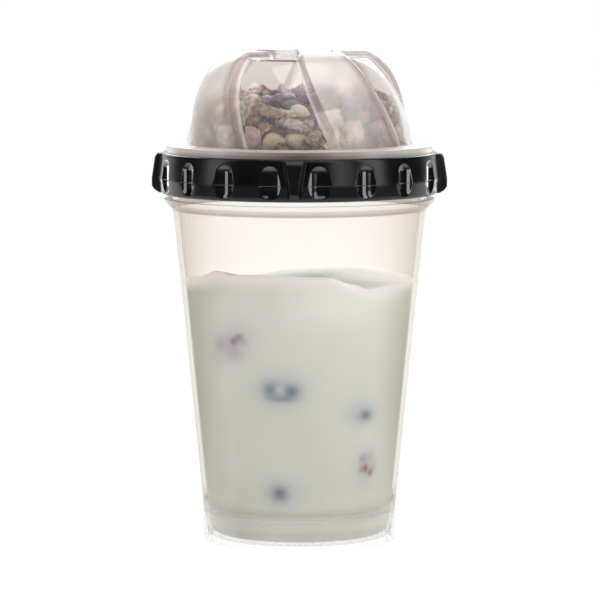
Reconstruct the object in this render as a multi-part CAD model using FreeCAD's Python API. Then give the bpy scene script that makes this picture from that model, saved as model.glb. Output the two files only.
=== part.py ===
import FreeCAD
import Part
import math
import os

# A reusable yogurt cup to carry away: a tapered cup on a notched foot skirt, a screw cap with
# finger scoops and four grip lugs, and a swirled dome on the cap that holds the dry topping.
# Millimetres, +Z up, origin at the centre of the foot, front towards -Y.

# Cup
CUP_HEIGHT = 118.9          # foot to the lip of the collar under the cap
WALL_FOOT_RADIUS = 32.15    # the tapered wall carried down to the ground
WALL_TOP_RADIUS = 43.7      # the same wall where the collar starts
WALL = 1.9
FLOOR_TOP = 2.6
FLOOR = 1.2
CORNER_RADIUS = 5.0         # inside corner between floor and wall
COLLAR_REACH = 3.05         # of the flared collar beyond the wall
COLLAR_HEIGHT = 3.9
COLLAR_LIP = 0.7
NECK_STEP = 0.2             # the neck is this much wider than the top of the wall

# Foot skirt
SKIRT_PROUD = 0.95          # beyond the wall at the ground
SKIRT_HEIGHT = 9.6
SKIRT_SWELL = 0.7           # how much wider the skirt is at its top than at the ground
SKIRT = 1.2
SKIRT_STEP = 1.1            # height of the slope that leads from the skirt to the wall
RIB_COUNT = 24
RIB = 0.9
RIB_LIFT = 0.9
NOTCH_WIDTH = 4.4
NOTCH_HEIGHT = 0.9

# Cap
CAP_HEIGHT = 14.4
CAP_WALL = 3.3              # from the thread room out to the belly
CAP_BELLY_SHARE = 0.37      # height of the belly's parting crease, of the cap's
CAP_TAPER = 1.5             # the top is this much narrower than the belly
CAP_DRAFT = 0.5             # and the lower edge this much
CAP_EDGE = 1.3              # rounding of the lower edge
CAP_SHOULDER = 1.0          # rounding of the upper edge
CAP_PLATE = 2.5
THREAD_ROOM = 1.3           # between the neck and the cap's skirt
COLLAR_GAP = 1.6            # between the collar's lip and the cap's lower edge
SEAT_GAP = 0.3
PLUG = 1.2
PLUG_DEPTH = 4.0
CAP_TURN = -2.0             # the whole cap is screwed this far past the front, in degrees

SCOOP_PITCH = 20.0
SCOOP_WIDTH = 7.8
SCOOP_DEPTH = 1.25
SCOOP_FOOT = 1.2            # left below a scoop
SCOOP_HEAD = 2.3            # left above a scoop

LUG_COUNT = 4
LUG_PROUD = 2.55            # beyond the belly
LUG_FACE_TOP = 4.8
LUG_FACE_FOOT = 2.1
LUG_ROOT_TOP = 8.4
LUG_ROOT_FOOT = 5.2
LUG_TOP_SINK = 0.5          # the lug's top is this far below the cap's
LUG_FOOT_LIFT = 0.3         # and its foot this far above the cap's lower edge

# Dome
DOME_HEIGHT = 34.9          # above the cap
DOME_WALL = 1.2
FLANGE_LEDGE = 1.0          # the cap's top shows this far outside the flange
FLANGE_HEIGHT = 2.6
FLANGE_WIDTH = 6.65         # from the crown to the rim
FLANGE_EDGE = 0.5
CROWN_BEND = 19.85          # radial half axis of the crown's quarter ellipse
CROWN_CUT = 0.45            # the ellipse would rise this far above the flat top
PANEL_COUNT = 4
PANEL_ANGLE = 42.0
RAMP_ANGLE = 7.0
SWIRL_ANGLE = 18.7          # turn of the panels from the flat top down to the flange
STEP_FOOT = 0.3             # a panel stands this proud at the flange
STEP_TOP = 3.4              # and this proud at the shoulder
TOP_STEP = 2.3              # the panels' flat pads above the sunk top
HUB_RADIUS = 12.0
SEAT_RING_HEIGHT = 1.1
SEAT_RING_WIDTH = 4.0

# Contents
FILL_GAP = 0.15
HEADSPACE = 25.9            # from the collar's lip down to the mean level of the yogurt
GRANOLA_GAP = 0.4
GRANOLA_HEIGHT = 17.4       # mean height of the heap above the cap
LUMP_PITCH = 17.0
FIELD_CELLS = 12            # cells across a level or heap surface

# Worked out
FOOT_RADIUS = WALL_FOOT_RADIUS + SKIRT_PROUD
COLLAR_FOOT = CUP_HEIGHT - COLLAR_HEIGHT
COLLAR_RADIUS = WALL_TOP_RADIUS + COLLAR_REACH
NECK_RADIUS = WALL_TOP_RADIUS + NECK_STEP
WALL_SLOPE = (WALL_TOP_RADIUS - WALL_FOOT_RADIUS) / COLLAR_FOOT
CAP_FOOT = CUP_HEIGHT + COLLAR_GAP
CAP_TOP = CAP_FOOT + CAP_HEIGHT
CAP_BELLY = CAP_FOOT + CAP_BELLY_SHARE * CAP_HEIGHT
CAP_INNER_RADIUS = NECK_RADIUS + THREAD_ROOM
CAP_BELLY_RADIUS = CAP_INNER_RADIUS + CAP_WALL
CAP_TOP_RADIUS = CAP_BELLY_RADIUS - CAP_TAPER
NECK_TOP = CAP_TOP - CAP_PLATE - SEAT_GAP
LUG_REACH = CAP_BELLY_RADIUS + LUG_PROUD
FLANGE_RADIUS = CAP_TOP_RADIUS - FLANGE_LEDGE
FLANGE_TOP = CAP_TOP + FLANGE_HEIGHT
CROWN_RADIUS = FLANGE_RADIUS - FLANGE_WIDTH
DOME_TOP = CAP_TOP + DOME_HEIGHT
SUNK_TOP = DOME_TOP - TOP_STEP
YOGURT_LEVEL = CUP_HEIGHT - HEADSPACE


def at(point):
    """Vector of a (radius, height) pair in the XZ half plane."""
    return FreeCAD.Vector(point[0], 0, point[1])


def polar(radius, azimuth, height):
    """Vector at an azimuth in degrees, counted from the front (-Y) towards +X."""
    angle = math.radians(azimuth)
    return FreeCAD.Vector(radius * math.sin(angle), -radius * math.cos(angle), height)


def turned(shape, azimuth):
    """Copy of a shape drawn towards +X, turned to an azimuth counted from the front."""
    copy = shape.copy()
    copy.rotate(FreeCAD.Vector(0, 0, 0), FreeCAD.Vector(0, 0, 1), azimuth - 90)
    return copy


def ring(start, *steps):
    """Solid of revolution. A step is a point, or a pair: a point on the arc and its end."""
    edges = []
    here = start
    for step in steps:
        if isinstance(step[0], tuple):
            edges.append(Part.Arc(at(here), at(step[0]), at(step[1])).toShape())
            here = step[1]
        else:
            edges.append(Part.makeLine(at(here), at(step)))
            here = step
    edges.append(Part.makeLine(at(here), at(start)))
    return Part.Face(Part.Wire(edges)).revolve(FreeCAD.Vector(0, 0, 0), FreeCAD.Vector(0, 0, 1), 360)


def wall_radius(height):
    """Outer radius of the cup's tapered wall."""
    return WALL_FOOT_RADIUS + WALL_SLOPE * height


def corner(radius, size, height):
    """Middle and end of the rounded corner from a floor at this height up to the wall."""
    reach = radius + WALL_SLOPE * size - size
    middle = (reach + size * math.sin(math.radians(45)), height + size * (1 - math.cos(math.radians(45))))
    return (reach, height), (middle, (reach + size, height + size))


def cavity(gap, top):
    """What fills the cup from its floor to a height, clear of the wall by the gap."""
    inner = wall_radius(FLOOR_TOP) - WALL - gap
    start, rounding = corner(inner, CORNER_RADIUS, FLOOR_TOP)
    taper_top = min(top, COLLAR_FOOT)
    top_radius = wall_radius(taper_top) - WALL - gap
    steps = [start, rounding, (top_radius, taper_top)]
    if top > taper_top:
        steps.append((top_radius, top))
    return ring((0, FLOOR_TOP), *steps, (0, top))


def cup():
    """Tapered cup with its collar, its neck and the ribbed and notched foot skirt."""
    floor_foot = FLOOR_TOP - FLOOR
    start, rounding = corner(wall_radius(floor_foot), CORNER_RADIUS + FLOOR, floor_foot)
    lip_foot = CUP_HEIGHT - COLLAR_LIP
    body = ring(
        (0, floor_foot), start, rounding, (WALL_TOP_RADIUS, COLLAR_FOOT), (COLLAR_RADIUS, lip_foot),
        (COLLAR_RADIUS, CUP_HEIGHT), (NECK_RADIUS, CUP_HEIGHT), (NECK_RADIUS, NECK_TOP), (0, NECK_TOP),
    )
    skirt_top = FOOT_RADIUS + SKIRT_SWELL
    step_top = SKIRT_HEIGHT + SKIRT_STEP
    skirt = ring(
        (FOOT_RADIUS - SKIRT, 0), (FOOT_RADIUS, 0), (skirt_top, SKIRT_HEIGHT),
        (wall_radius(step_top), step_top), (wall_radius(step_top) - WALL / 3, step_top),
        (skirt_top - SKIRT, SKIRT_HEIGHT - SKIRT),
    )
    rib_root = start[0] + CORNER_RADIUS / 4
    rib = Part.makeBox(
        FOOT_RADIUS - SKIRT / 2 - rib_root, RIB, SKIRT_HEIGHT - RIB_LIFT - SKIRT,
        FreeCAD.Vector(rib_root, -RIB / 2, RIB_LIFT),
    )
    notch = Part.makeBox(
        3 * SKIRT, NOTCH_WIDTH, 2 * NOTCH_HEIGHT,
        FreeCAD.Vector(FOOT_RADIUS - 2 * SKIRT, -NOTCH_WIDTH / 2, -NOTCH_HEIGHT),
    )
    pitch = 360 / RIB_COUNT
    ribs = [turned(rib, i * pitch) for i in range(RIB_COUNT)]
    notches = [turned(notch, (i + 0.5) * pitch) for i in range(RIB_COUNT)]
    return body.fuse([skirt] + ribs).cut([cavity(0, NECK_TOP + 1)] + notches)


def scoops():
    """Spindle cutters of the finger scoops, left out where the side lugs stand."""
    half_height = (CAP_HEIGHT - SCOOP_FOOT - SCOOP_HEAD) / 2
    half_width = SCOOP_WIDTH / 2
    chord_depth = SCOOP_DEPTH - half_width ** 2 / (2 * CAP_BELLY_RADIUS)
    radius = (half_width ** 2 + chord_depth ** 2) / (2 * chord_depth)
    arc_radius = (half_height ** 2 + SCOOP_DEPTH ** 2) / (2 * SCOOP_DEPTH)
    middle = CAP_FOOT + SCOOP_FOOT + half_height
    tip = math.sqrt(arc_radius ** 2 - (arc_radius - radius) ** 2)
    spindle = ring((0, middle - tip), ((radius, middle), (0, middle + tip)))
    spindle.translate(FreeCAD.Vector(CAP_BELLY_RADIUS - SCOOP_DEPTH + radius, 0, 0))
    half_pitch = SCOOP_PITCH / 2
    places = [half_pitch + i * SCOOP_PITCH for i in range(round(360 / SCOOP_PITCH))]
    lug_pitch = 360 / LUG_COUNT
    return [turned(spindle, place) for place in places if place % lug_pitch >= half_pitch]


def lug():
    """One grip lug: a tapered block that grows wider upwards, cut to its rounded outline."""
    foot = CAP_FOOT + LUG_FOOT_LIFT
    top = CAP_TOP - LUG_TOP_SINK
    root = CAP_INNER_RADIUS
    beyond = LUG_REACH + WALL
    sections = []
    for height, face, base in ((foot, LUG_FACE_FOOT, LUG_ROOT_FOOT), (top, LUG_FACE_TOP, LUG_ROOT_TOP)):
        spread = (base - face) / 2 / (LUG_REACH - CAP_TOP_RADIUS)
        near = face / 2 + spread * (LUG_REACH - root)
        far = face / 2 + spread * (LUG_REACH - beyond)
        corners = [(root, near), (beyond, far), (beyond, -far), (root, -near)]
        vectors = [FreeCAD.Vector(x, y, height) for x, y in corners]
        sections.append(Part.makePolygon(vectors + vectors[:1]))
    block = Part.makeLoft(sections, True, True)
    toe = foot + 0.9 * LUG_PROUD
    brow = LUG_REACH - 0.45 * LUG_PROUD
    outline = ring(
        (0, foot), (CAP_BELLY_RADIUS, foot),
        ((LUG_REACH - 0.35 * LUG_PROUD, foot + 0.4 * LUG_PROUD), (LUG_REACH, toe)),
        (LUG_REACH, CAP_BELLY), (brow, top - 0.45 * LUG_PROUD), (brow - 0.3 * LUG_PROUD, top), (0, top),
    )
    return block.common(outline)


def cap():
    """Screw cap: skirt, plate that carries the topping, plug ring, seat ring, scoops and lugs."""
    plate_foot = CAP_TOP - CAP_PLATE
    edge_radius = CAP_BELLY_RADIUS - CAP_DRAFT
    plug_outer = wall_radius(COLLAR_FOOT) - WALL - SEAT_GAP
    plug_inner = plug_outer - PLUG
    plug_foot = plate_foot - PLUG_DEPTH
    seat_outer = FLANGE_RADIUS - DOME_WALL - SEAT_GAP
    seat_inner = seat_outer - SEAT_RING_WIDTH
    seat_top = CAP_TOP + SEAT_RING_HEIGHT
    body = ring(
        (0, plate_foot), (plug_inner, plate_foot), (plug_inner, plug_foot),
        (plug_outer, plug_foot), (plug_outer, plate_foot), (CAP_INNER_RADIUS, plate_foot),
        (CAP_INNER_RADIUS, CAP_FOOT), (edge_radius - CAP_EDGE, CAP_FOOT),
        ((edge_radius - 0.3 * CAP_EDGE, CAP_FOOT + 0.3 * CAP_EDGE), (edge_radius, CAP_FOOT + CAP_EDGE)),
        (CAP_BELLY_RADIUS, CAP_BELLY), (CAP_TOP_RADIUS + 0.7 * CAP_SHOULDER, CAP_TOP - CAP_SHOULDER),
        ((CAP_TOP_RADIUS + 0.5 * CAP_SHOULDER, CAP_TOP - 0.3 * CAP_SHOULDER), (CAP_TOP_RADIUS, CAP_TOP)),
        (seat_outer, CAP_TOP), (seat_outer, seat_top),
        (seat_inner, seat_top), (seat_inner, CAP_TOP), (0, CAP_TOP),
    )
    lugs = [turned(lug(), i * 360 / LUG_COUNT) for i in range(LUG_COUNT)]
    return turned(body.cut(scoops()).fuse(lugs), 90 + CAP_TURN)


def crown_radius(height, inset):
    """Radius of the raised panels at a height, on a surface this far inside the outer one."""
    share = (height - CAP_TOP) / (DOME_HEIGHT + CROWN_CUT - inset)
    return CROWN_RADIUS - CROWN_BEND + (CROWN_BEND - inset) * math.sqrt(1 - share ** 2)


def channel_radius(height, inset):
    """Radius of the sunk channels between the panels; the step grows with the height."""
    share = (height - FLANGE_TOP) / (SUNK_TOP - FLANGE_TOP)
    return crown_radius(height, inset) - STEP_FOOT - (STEP_TOP - STEP_FOOT) * share


def swirl(height):
    """Azimuth of the first panel's start: the panels run straight down to the pads."""
    share = (SUNK_TOP - height) / (SUNK_TOP - FLANGE_TOP)
    return SWIRL_ANGLE * max(share, 0)


def arc_edge(radius, start, end, height):
    """Arc about the axis between two azimuths."""
    middle = polar(radius, (start + end) / 2, height)
    return Part.Arc(polar(radius, start, height), middle, polar(radius, end, height)).toShape()


def crown_section(height, inset):
    """Outline of the crown at a height: panel, ramp, channel and ramp, once for each panel."""
    outer = crown_radius(height, inset)
    sunk = channel_radius(height, inset)
    pitch = 360 / PANEL_COUNT
    trim = math.degrees(inset / CROWN_RADIUS)
    edges = []
    for i in range(PANEL_COUNT):
        begin = swirl(height) + i * pitch + RAMP_ANGLE / 2 + trim
        end = swirl(height) + i * pitch + PANEL_ANGLE - RAMP_ANGLE / 2 - trim
        following = begin + pitch - RAMP_ANGLE
        edges.append(arc_edge(outer, begin, end, height))
        edges.append(Part.makeLine(polar(outer, end, height), polar(sunk, end + RAMP_ANGLE, height)))
        edges.append(arc_edge(sunk, end + RAMP_ANGLE, following, height))
        ramp_top = polar(outer, following + RAMP_ANGLE, height)
        edges.append(Part.makeLine(polar(sunk, following, height), ramp_top))
    return Part.Wire(edges)


def pad_section(share, inset):
    """Outline of one panel's pad on the flat top, from its foot (0) to its top (1)."""
    height = SUNK_TOP - inset + share * TOP_STEP
    outer = crown_radius(height, inset)
    trim = math.degrees(inset / CROWN_RADIUS)
    face = PANEL_ANGLE / 2 - RAMP_ANGLE / 2 - trim
    flank = face + RAMP_ANGLE * (1 - share)
    foot_step = channel_radius(SUNK_TOP - inset, inset) - crown_radius(SUNK_TOP - inset, inset)
    shoulder = outer + foot_step * (1 - 0.7 * share)
    hub = HUB_RADIUS + inset + share * TOP_STEP
    middle = PANEL_ANGLE / 2
    corners = [
        polar(outer, middle + face, height), polar(shoulder, middle + flank, height),
        polar(hub, middle + flank, height), polar(hub, middle - flank, height),
        polar(shoulder, middle - flank, height), polar(outer, middle - face, height),
    ]
    edges = [Part.makeLine(corners[0], corners[1]), Part.makeLine(corners[1], corners[2])]
    edges.append(arc_edge(hub, middle + flank, middle - flank, height))
    edges += [Part.makeLine(corners[3], corners[4]), Part.makeLine(corners[4], corners[5])]
    edges.append(arc_edge(outer, middle - face, middle + face, height))
    return Part.Wire(edges)


def crown(inset, foot):
    """Solid inside the swirled crown's surface, from a foot height to the four pads."""
    top = SUNK_TOP - inset
    stations = [foot + (top - foot) * share for share in (0, 0.2, 0.4, 0.6, 0.8, 1)]
    body = Part.makeLoft([crown_section(height, inset) for height in stations], True)
    pad = Part.makeLoft([pad_section(share, inset) for share in (0, 0.5, 1)], True)
    pads = []
    for i in range(PANEL_COUNT):
        copy = pad.copy()
        copy.rotate(FreeCAD.Vector(0, 0, 0), FreeCAD.Vector(0, 0, 1), swirl(top) + i * 360 / PANEL_COUNT)
        pads.append(copy)
    return body.fuse(pads)


def dome():
    """Swirled dome: thin crown on a flange whose rim turns down on to the cap."""
    plate_foot = FLANGE_TOP - DOME_WALL
    rim_inner = FLANGE_RADIUS - DOME_WALL
    flange = ring(
        (CROWN_RADIUS - DOME_WALL, plate_foot), (rim_inner, plate_foot), (rim_inner, CAP_TOP),
        (FLANGE_RADIUS, CAP_TOP), (FLANGE_RADIUS, FLANGE_TOP - FLANGE_EDGE),
        (FLANGE_RADIUS - FLANGE_EDGE, FLANGE_TOP), (CROWN_RADIUS - DOME_WALL, FLANGE_TOP),
    )
    return flange.fuse(crown(0, plate_foot)).cut(crown(DOME_WALL, plate_foot - DOME_WALL))


def field(height_at, reach, top):
    """Cutter above an uneven surface z = height_at(x, y), over a square of this reach."""
    places = [reach * (2 * i / FIELD_CELLS - 1) for i in range(FIELD_CELLS + 1)]
    surface = Part.BSplineSurface()
    surface.interpolate([[FreeCAD.Vector(x, y, height_at(x, y)) for y in places] for x in places])
    return surface.toShape().extrude(FreeCAD.Vector(0, 0, top))


def swell(x, y, azimuth, radius, width, height):
    """Rounded mound (or, with a negative height, hollow) centred at an azimuth and radius."""
    centre = polar(radius, azimuth, 0)
    return height * math.exp(-((x - centre.x) ** 2 + (y - centre.y) ** 2) / width ** 2)


def yogurt_height(x, y):
    """Spooned level: a mound at the front left, a trough with a fold at the front right."""
    reach = wall_radius(YOGURT_LEVEL)
    height = YOGURT_LEVEL
    height += swell(x, y, -35, 0.75 * reach, 0.55 * reach, 3.6)
    height += swell(x, y, 15, 0.85 * reach, 0.3 * reach, 2.4)
    height += swell(x, y, 48, 0.95 * reach, 0.38 * reach, -4.6)
    height += swell(x, y, 95, 0.9 * reach, 0.5 * reach, -3.4)
    height += swell(x, y, -95, reach, 0.35 * reach, -2.4)
    height += swell(x, y, 150, 0.5 * reach, 0.4 * reach, 1.2)
    return height


def yogurt():
    """Yogurt up to its uneven level, on the cup's floor and clear of the wall."""
    top = YOGURT_LEVEL + 8
    cutter = field(yogurt_height, wall_radius(top) + 2, top)
    return cavity(FILL_GAP, top).cut(cutter)


def granola_height(x, y):
    """Heap of clusters and flakes: highest behind the middle, lumpy all over."""
    reach = CROWN_RADIUS
    height = CAP_TOP + GRANOLA_HEIGHT
    height += swell(x, y, 170, 0.3 * reach, 0.55 * reach, 3.4)
    height += swell(x, y, 80, 0.6 * reach, 0.4 * reach, 1.6)
    height += swell(x, y, 5, 0.9 * reach, 0.45 * reach, -1.6)
    wave = 2 * math.pi / LUMP_PITCH
    height += 0.9 * math.sin(wave * x + 0.7) * math.cos(wave * y - 0.4)
    height += 0.6 * math.sin(1.6 * wave * (x + y) + 2.0)
    return height


def granola():
    """Heap of granola on the cap's plate, clear of the dome's channels."""
    top = CAP_TOP + GRANOLA_HEIGHT + 8
    side = []
    for i in range(6):
        height = CAP_TOP + (top - CAP_TOP) * i / 5
        side.append(at((channel_radius(height, DOME_WALL) - GRANOLA_GAP, height)))
    curve = Part.BSplineCurve()
    curve.interpolate(side)
    foot, head = at((0, CAP_TOP)), at((0, top))
    edges = [Part.makeLine(foot, side[0]), curve.toShape()]
    edges += [Part.makeLine(side[-1], head), Part.makeLine(head, foot)]
    heap = Part.Face(Part.Wire(edges)).revolve(FreeCAD.Vector(0, 0, 0), FreeCAD.Vector(0, 0, 1), 360)
    return heap.cut(field(granola_height, CROWN_RADIUS + 2, top))


def main():
    """Builds every piece and writes one STEP file for each node."""
    os.makedirs("parts", exist_ok=True)
    pieces = {"cup": cup, "yogurt": yogurt, "cap": cap, "dome": dome, "granola": granola}
    for name, make in pieces.items():
        shape = make()
        solid = shape.Solids[0] if len(shape.Solids) == 1 else shape
        solid.exportStep(f"parts/{name}.step")
        volume = round(solid.Volume / 1000, 2)
        print(name, solid.ShapeType, len(shape.Solids), "valid", solid.isValid(), volume, "ml")


main()
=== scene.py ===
"""Looks of a reusable yogurt cup to carry away, with a screw cap and a swirled dome of granola.

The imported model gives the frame. Sizes here are in millimetres and are turned into metres
when a mesh is made. Azimuths are in degrees, counted from the front (-Y) towards +X.
"""

import logging
import math
import random
from collections.abc import Callable, Sequence
from dataclasses import dataclass, field
from enum import Enum

import bmesh
import bpy
from mathutils import Euler, Matrix, Quaternion, Vector, noise


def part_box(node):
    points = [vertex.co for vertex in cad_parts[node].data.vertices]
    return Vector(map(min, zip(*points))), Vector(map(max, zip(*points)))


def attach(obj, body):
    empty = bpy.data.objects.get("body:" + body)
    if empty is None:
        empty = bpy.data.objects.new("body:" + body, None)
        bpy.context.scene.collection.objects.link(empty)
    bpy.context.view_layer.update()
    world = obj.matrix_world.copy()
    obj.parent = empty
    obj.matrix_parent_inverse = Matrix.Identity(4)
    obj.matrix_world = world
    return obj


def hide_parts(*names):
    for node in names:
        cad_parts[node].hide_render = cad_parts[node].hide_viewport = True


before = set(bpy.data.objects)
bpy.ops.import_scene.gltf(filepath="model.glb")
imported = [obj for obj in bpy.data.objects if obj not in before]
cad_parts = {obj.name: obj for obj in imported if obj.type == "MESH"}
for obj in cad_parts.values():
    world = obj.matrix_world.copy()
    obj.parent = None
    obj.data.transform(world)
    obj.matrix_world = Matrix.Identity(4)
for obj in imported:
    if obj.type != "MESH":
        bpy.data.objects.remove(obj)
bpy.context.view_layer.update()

LOG = logging.getLogger("yogurt_cup")
MM = 0.001
BODY = "root"
FINISHES = 4
FULL_TURN = 360.0
QUARTER = 90.0
PLASTIC_IOR = 1.49
WELD = 0.002 * MM

Point = tuple[float, float, float]
Pair = tuple[float, float]
Colour = tuple[float, float, float]
Object, Mesh, Material = bpy.types.Object, bpy.types.Mesh, bpy.types.Material
Tree, Node, Socket = bpy.types.NodeTree, bpy.types.Node, bpy.types.NodeSocket

WHITE: Colour = (1.0, 1.0, 1.0)
NUMBER = "NodeSocketFloat"
COLOUR = "NodeSocketColor"
GEOMETRY = "NodeSocketGeometry"
MATERIAL = "NodeSocketMaterial"


# ---- places and outlines


def foot_of(node: str) -> float:
    """Lowest height of a CAD node, in millimetres."""
    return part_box(node)[0][2] / MM


def top_of(node: str) -> float:
    """Highest height of a CAD node, in millimetres."""
    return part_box(node)[1][2] / MM


def reach_of(node: str) -> float:
    """Largest distance of a CAD node from the axis along X, in millimetres."""
    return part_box(node)[1][0] / MM


def around(radius: float, azimuth: float, height: float) -> Point:
    """Point at a radius, an azimuth and a height."""
    angle = math.radians(azimuth)
    return radius * math.sin(angle), -radius * math.cos(angle), height


def mix(first: float, second: float, share: float) -> float:
    """Value this share of the way from the first to the second."""
    return first + (second - first) * share


def soft_step(low: float, high: float, value: float) -> float:
    """Smooth rise from 0 at low to 1 at high."""
    share = min(max((value - low) / (high - low), 0.0), 1.0)
    return share * share * (3 - 2 * share)


def soft_min(first: float, second: float, reach: float) -> float:
    """Smaller of two values, rounded where they are closer than reach."""
    near = max(reach - abs(first - second), 0.0) / reach
    return min(first, second) - near * near * reach / 4


def soft_max(first: float, second: float, reach: float) -> float:
    """Larger of two values, rounded where they are closer than reach."""
    return -soft_min(-first, -second, reach)


def through(points: Sequence[Pair], spot: float, eased: bool = False) -> float:
    """Value on a line through points, held beyond its ends.

    Args:
        points: (place, value) pairs in order.
        spot: the place to read.
        eased: levels the line off at each point.

    Returns:
        The value at that place.
    """
    for (start, first), (end, second) in zip(points, points[1:]):
        if spot <= end:
            share = soft_step(start, end, spot) if eased else max(spot - start, 0.0) / (end - start)
            return mix(first, second, share)
    return points[-1][1]


def rounded(corners: Sequence[Point], steps: int = 4) -> list[Pair]:
    """Outline whose corners are rounded.

    Args:
        corners: (radius, height, rounding) of each corner.
        steps: spans in each rounding.

    Returns:
        (radius, height) points, as many for each rounded corner whatever its size.
    """
    outline: list[Pair] = []
    last = len(corners) - 1
    for i, (x, y, size) in enumerate(corners):
        if size <= 0 or i in (0, last):
            outline.append((x, y))
            continue
        here = Vector((x, y))
        back = Vector(corners[i - 1][:2]) - here
        ahead = Vector(corners[i + 1][:2]) - here
        trim = min(size, 0.45 * back.length, 0.45 * ahead.length)
        start = here + back.normalized() * trim
        end = here + ahead.normalized() * trim
        for k in range(steps + 1):
            t = k / steps
            spot = start * (1 - t) ** 2 + here * 2 * t * (1 - t) + end * t ** 2
            outline.append((spot.x, spot.y))
    return outline


class Shape:
    """Vertices in millimetres and faces, gathered before they become one mesh."""

    def __init__(self) -> None:
        """Starts with nothing."""
        self.points: list[Point] = []
        self.faces: list[tuple[int, ...]] = []
        self.marks: list[int] = []

    def sheet(self, rows: Sequence[Sequence[Point]], around_axis: bool = True, loop: bool = False,
              mark: Callable[[int, int], int] | None = None) -> None:
        """Adds a sheet of quads.

        Args:
            rows: rows of points, all of one length.
            around_axis: joins the last column to the first.
            loop: joins the last row to the first.
            mark: gives the material index of the face at a row and a column.
        """
        start = len(self.points)
        columns = len(rows[0])
        for row in rows:
            self.points.extend(row)
        for i in range(len(rows) if loop else len(rows) - 1):
            j = (i + 1) % len(rows)
            for k in range(columns if around_axis else columns - 1):
                m = (k + 1) % columns
                self.faces.append((start + i * columns + k, start + i * columns + m,
                                   start + j * columns + m, start + j * columns + k))
                self.marks.append(mark(i, k) if mark else 0)

    def take(self, other: "Shape", turn: Quaternion | None = None, size: float = 1.0,
             centre: Sequence[float] = (0.0, 0.0, 0.0)) -> None:
        """Adds another shape.

        Args:
            other: the shape.
            turn: how it is turned, if at all.
            size: how much it grows.
            centre: where its origin goes.
        """
        start = len(self.points)
        middle = Vector(centre)
        for point in other.points:
            local = Vector(point) * size
            self.points.append(tuple(middle + (turn @ local if turn else local)))
        self.faces += [tuple(index + start for index in face) for face in other.faces]
        self.marks += other.marks

    def mesh(self, name: str) -> Mesh:
        """Plain mesh of the shape, in metres."""
        mesh = bpy.data.meshes.new(name)
        mesh.from_pydata([tuple(c * MM for c in point) for point in self.points], [], self.faces)
        return mesh

    def build(self, name: str, *materials: Material, crease: float = 35.0,
              spots: Sequence[Point] | None = None) -> Object:
        """Makes the object.

        Args:
            name: the piece's name.
            materials: in the order of the marks.
            crease: edges that turn more than this many degrees stay sharp.
            spots: place of each point on the unrolled wall, kept as an attribute.

        Returns:
            The object, at the origin, with its place in its mesh.
        """
        mesh = self.mesh(name)
        mesh.polygons.foreach_set("material_index", self.marks)
        for material in materials:
            mesh.materials.append(material)
        if spots is not None:
            keep_values(mesh, "unrolled", spots, "FLOAT_VECTOR")
        tidy(mesh, crease)
        return place(mesh, name)


def keep_values(mesh: Mesh, name: str, values: Sequence[object], kind: str = "FLOAT",
                domain: str = "POINT") -> None:
    """Keeps one value for each point or face of a mesh.

    Args:
        mesh: the mesh.
        name: the attribute's name.
        values: in the order of the points or faces.
        kind: the attribute's type.
        domain: POINT or FACE.
    """
    attribute = mesh.attributes.new(name, kind, domain)
    if kind == "FLOAT_VECTOR":
        attribute.data.foreach_set("vector", [part for value in values for part in value])
    else:
        attribute.data.foreach_set("value", values)


def tidy(mesh: Mesh, crease: float) -> None:
    """Merges doubles, closes poles and shades a mesh smooth.

    Args:
        mesh: the mesh.
        crease: edges that turn more than this many degrees stay sharp.
    """
    work = bmesh.new()
    work.from_mesh(mesh)
    bmesh.ops.remove_doubles(work, verts=work.verts, dist=WELD)
    bmesh.ops.dissolve_degenerate(work, edges=work.edges, dist=WELD / 10)
    work.to_mesh(mesh)
    work.free()
    mesh.shade_smooth()
    mesh.set_sharp_from_angle(angle=math.radians(crease))
    mesh.update()


def place(mesh: Mesh, name: str) -> Object:
    """Links a mesh to the scene as an object at the origin.

    Args:
        mesh: the mesh.
        name: the object's name.

    Returns:
        The object.
    """
    piece = bpy.data.objects.new(name, mesh)
    bpy.context.scene.collection.objects.link(piece)
    return piece


def settle(piece: Object) -> None:
    """Turns an object's evaluated modifiers into a plain mesh and removes them.

    Args:
        piece: the object.
    """
    bpy.context.view_layer.update()
    seen = piece.evaluated_get(bpy.context.evaluated_depsgraph_get())
    plain = bpy.data.meshes.new_from_object(seen)
    plain.name = piece.name
    piece.modifiers.clear()
    piece.data = plain


def hand_over(piece: Object, slot: str, *nodes: str) -> None:
    """Puts a finished piece on its body, hides the CAD nodes it stands for and logs its triangles.

    Args:
        piece: the piece.
        slot: not used.
        nodes: the CAD nodes it stands for.
    """
    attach(piece, BODY)
    if nodes:
        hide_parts(*nodes)
    LOG.info("%s: %d triangles", piece.name, sum(len(face.vertices) - 2 for face in piece.data.polygons))


# ---- node trees


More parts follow.
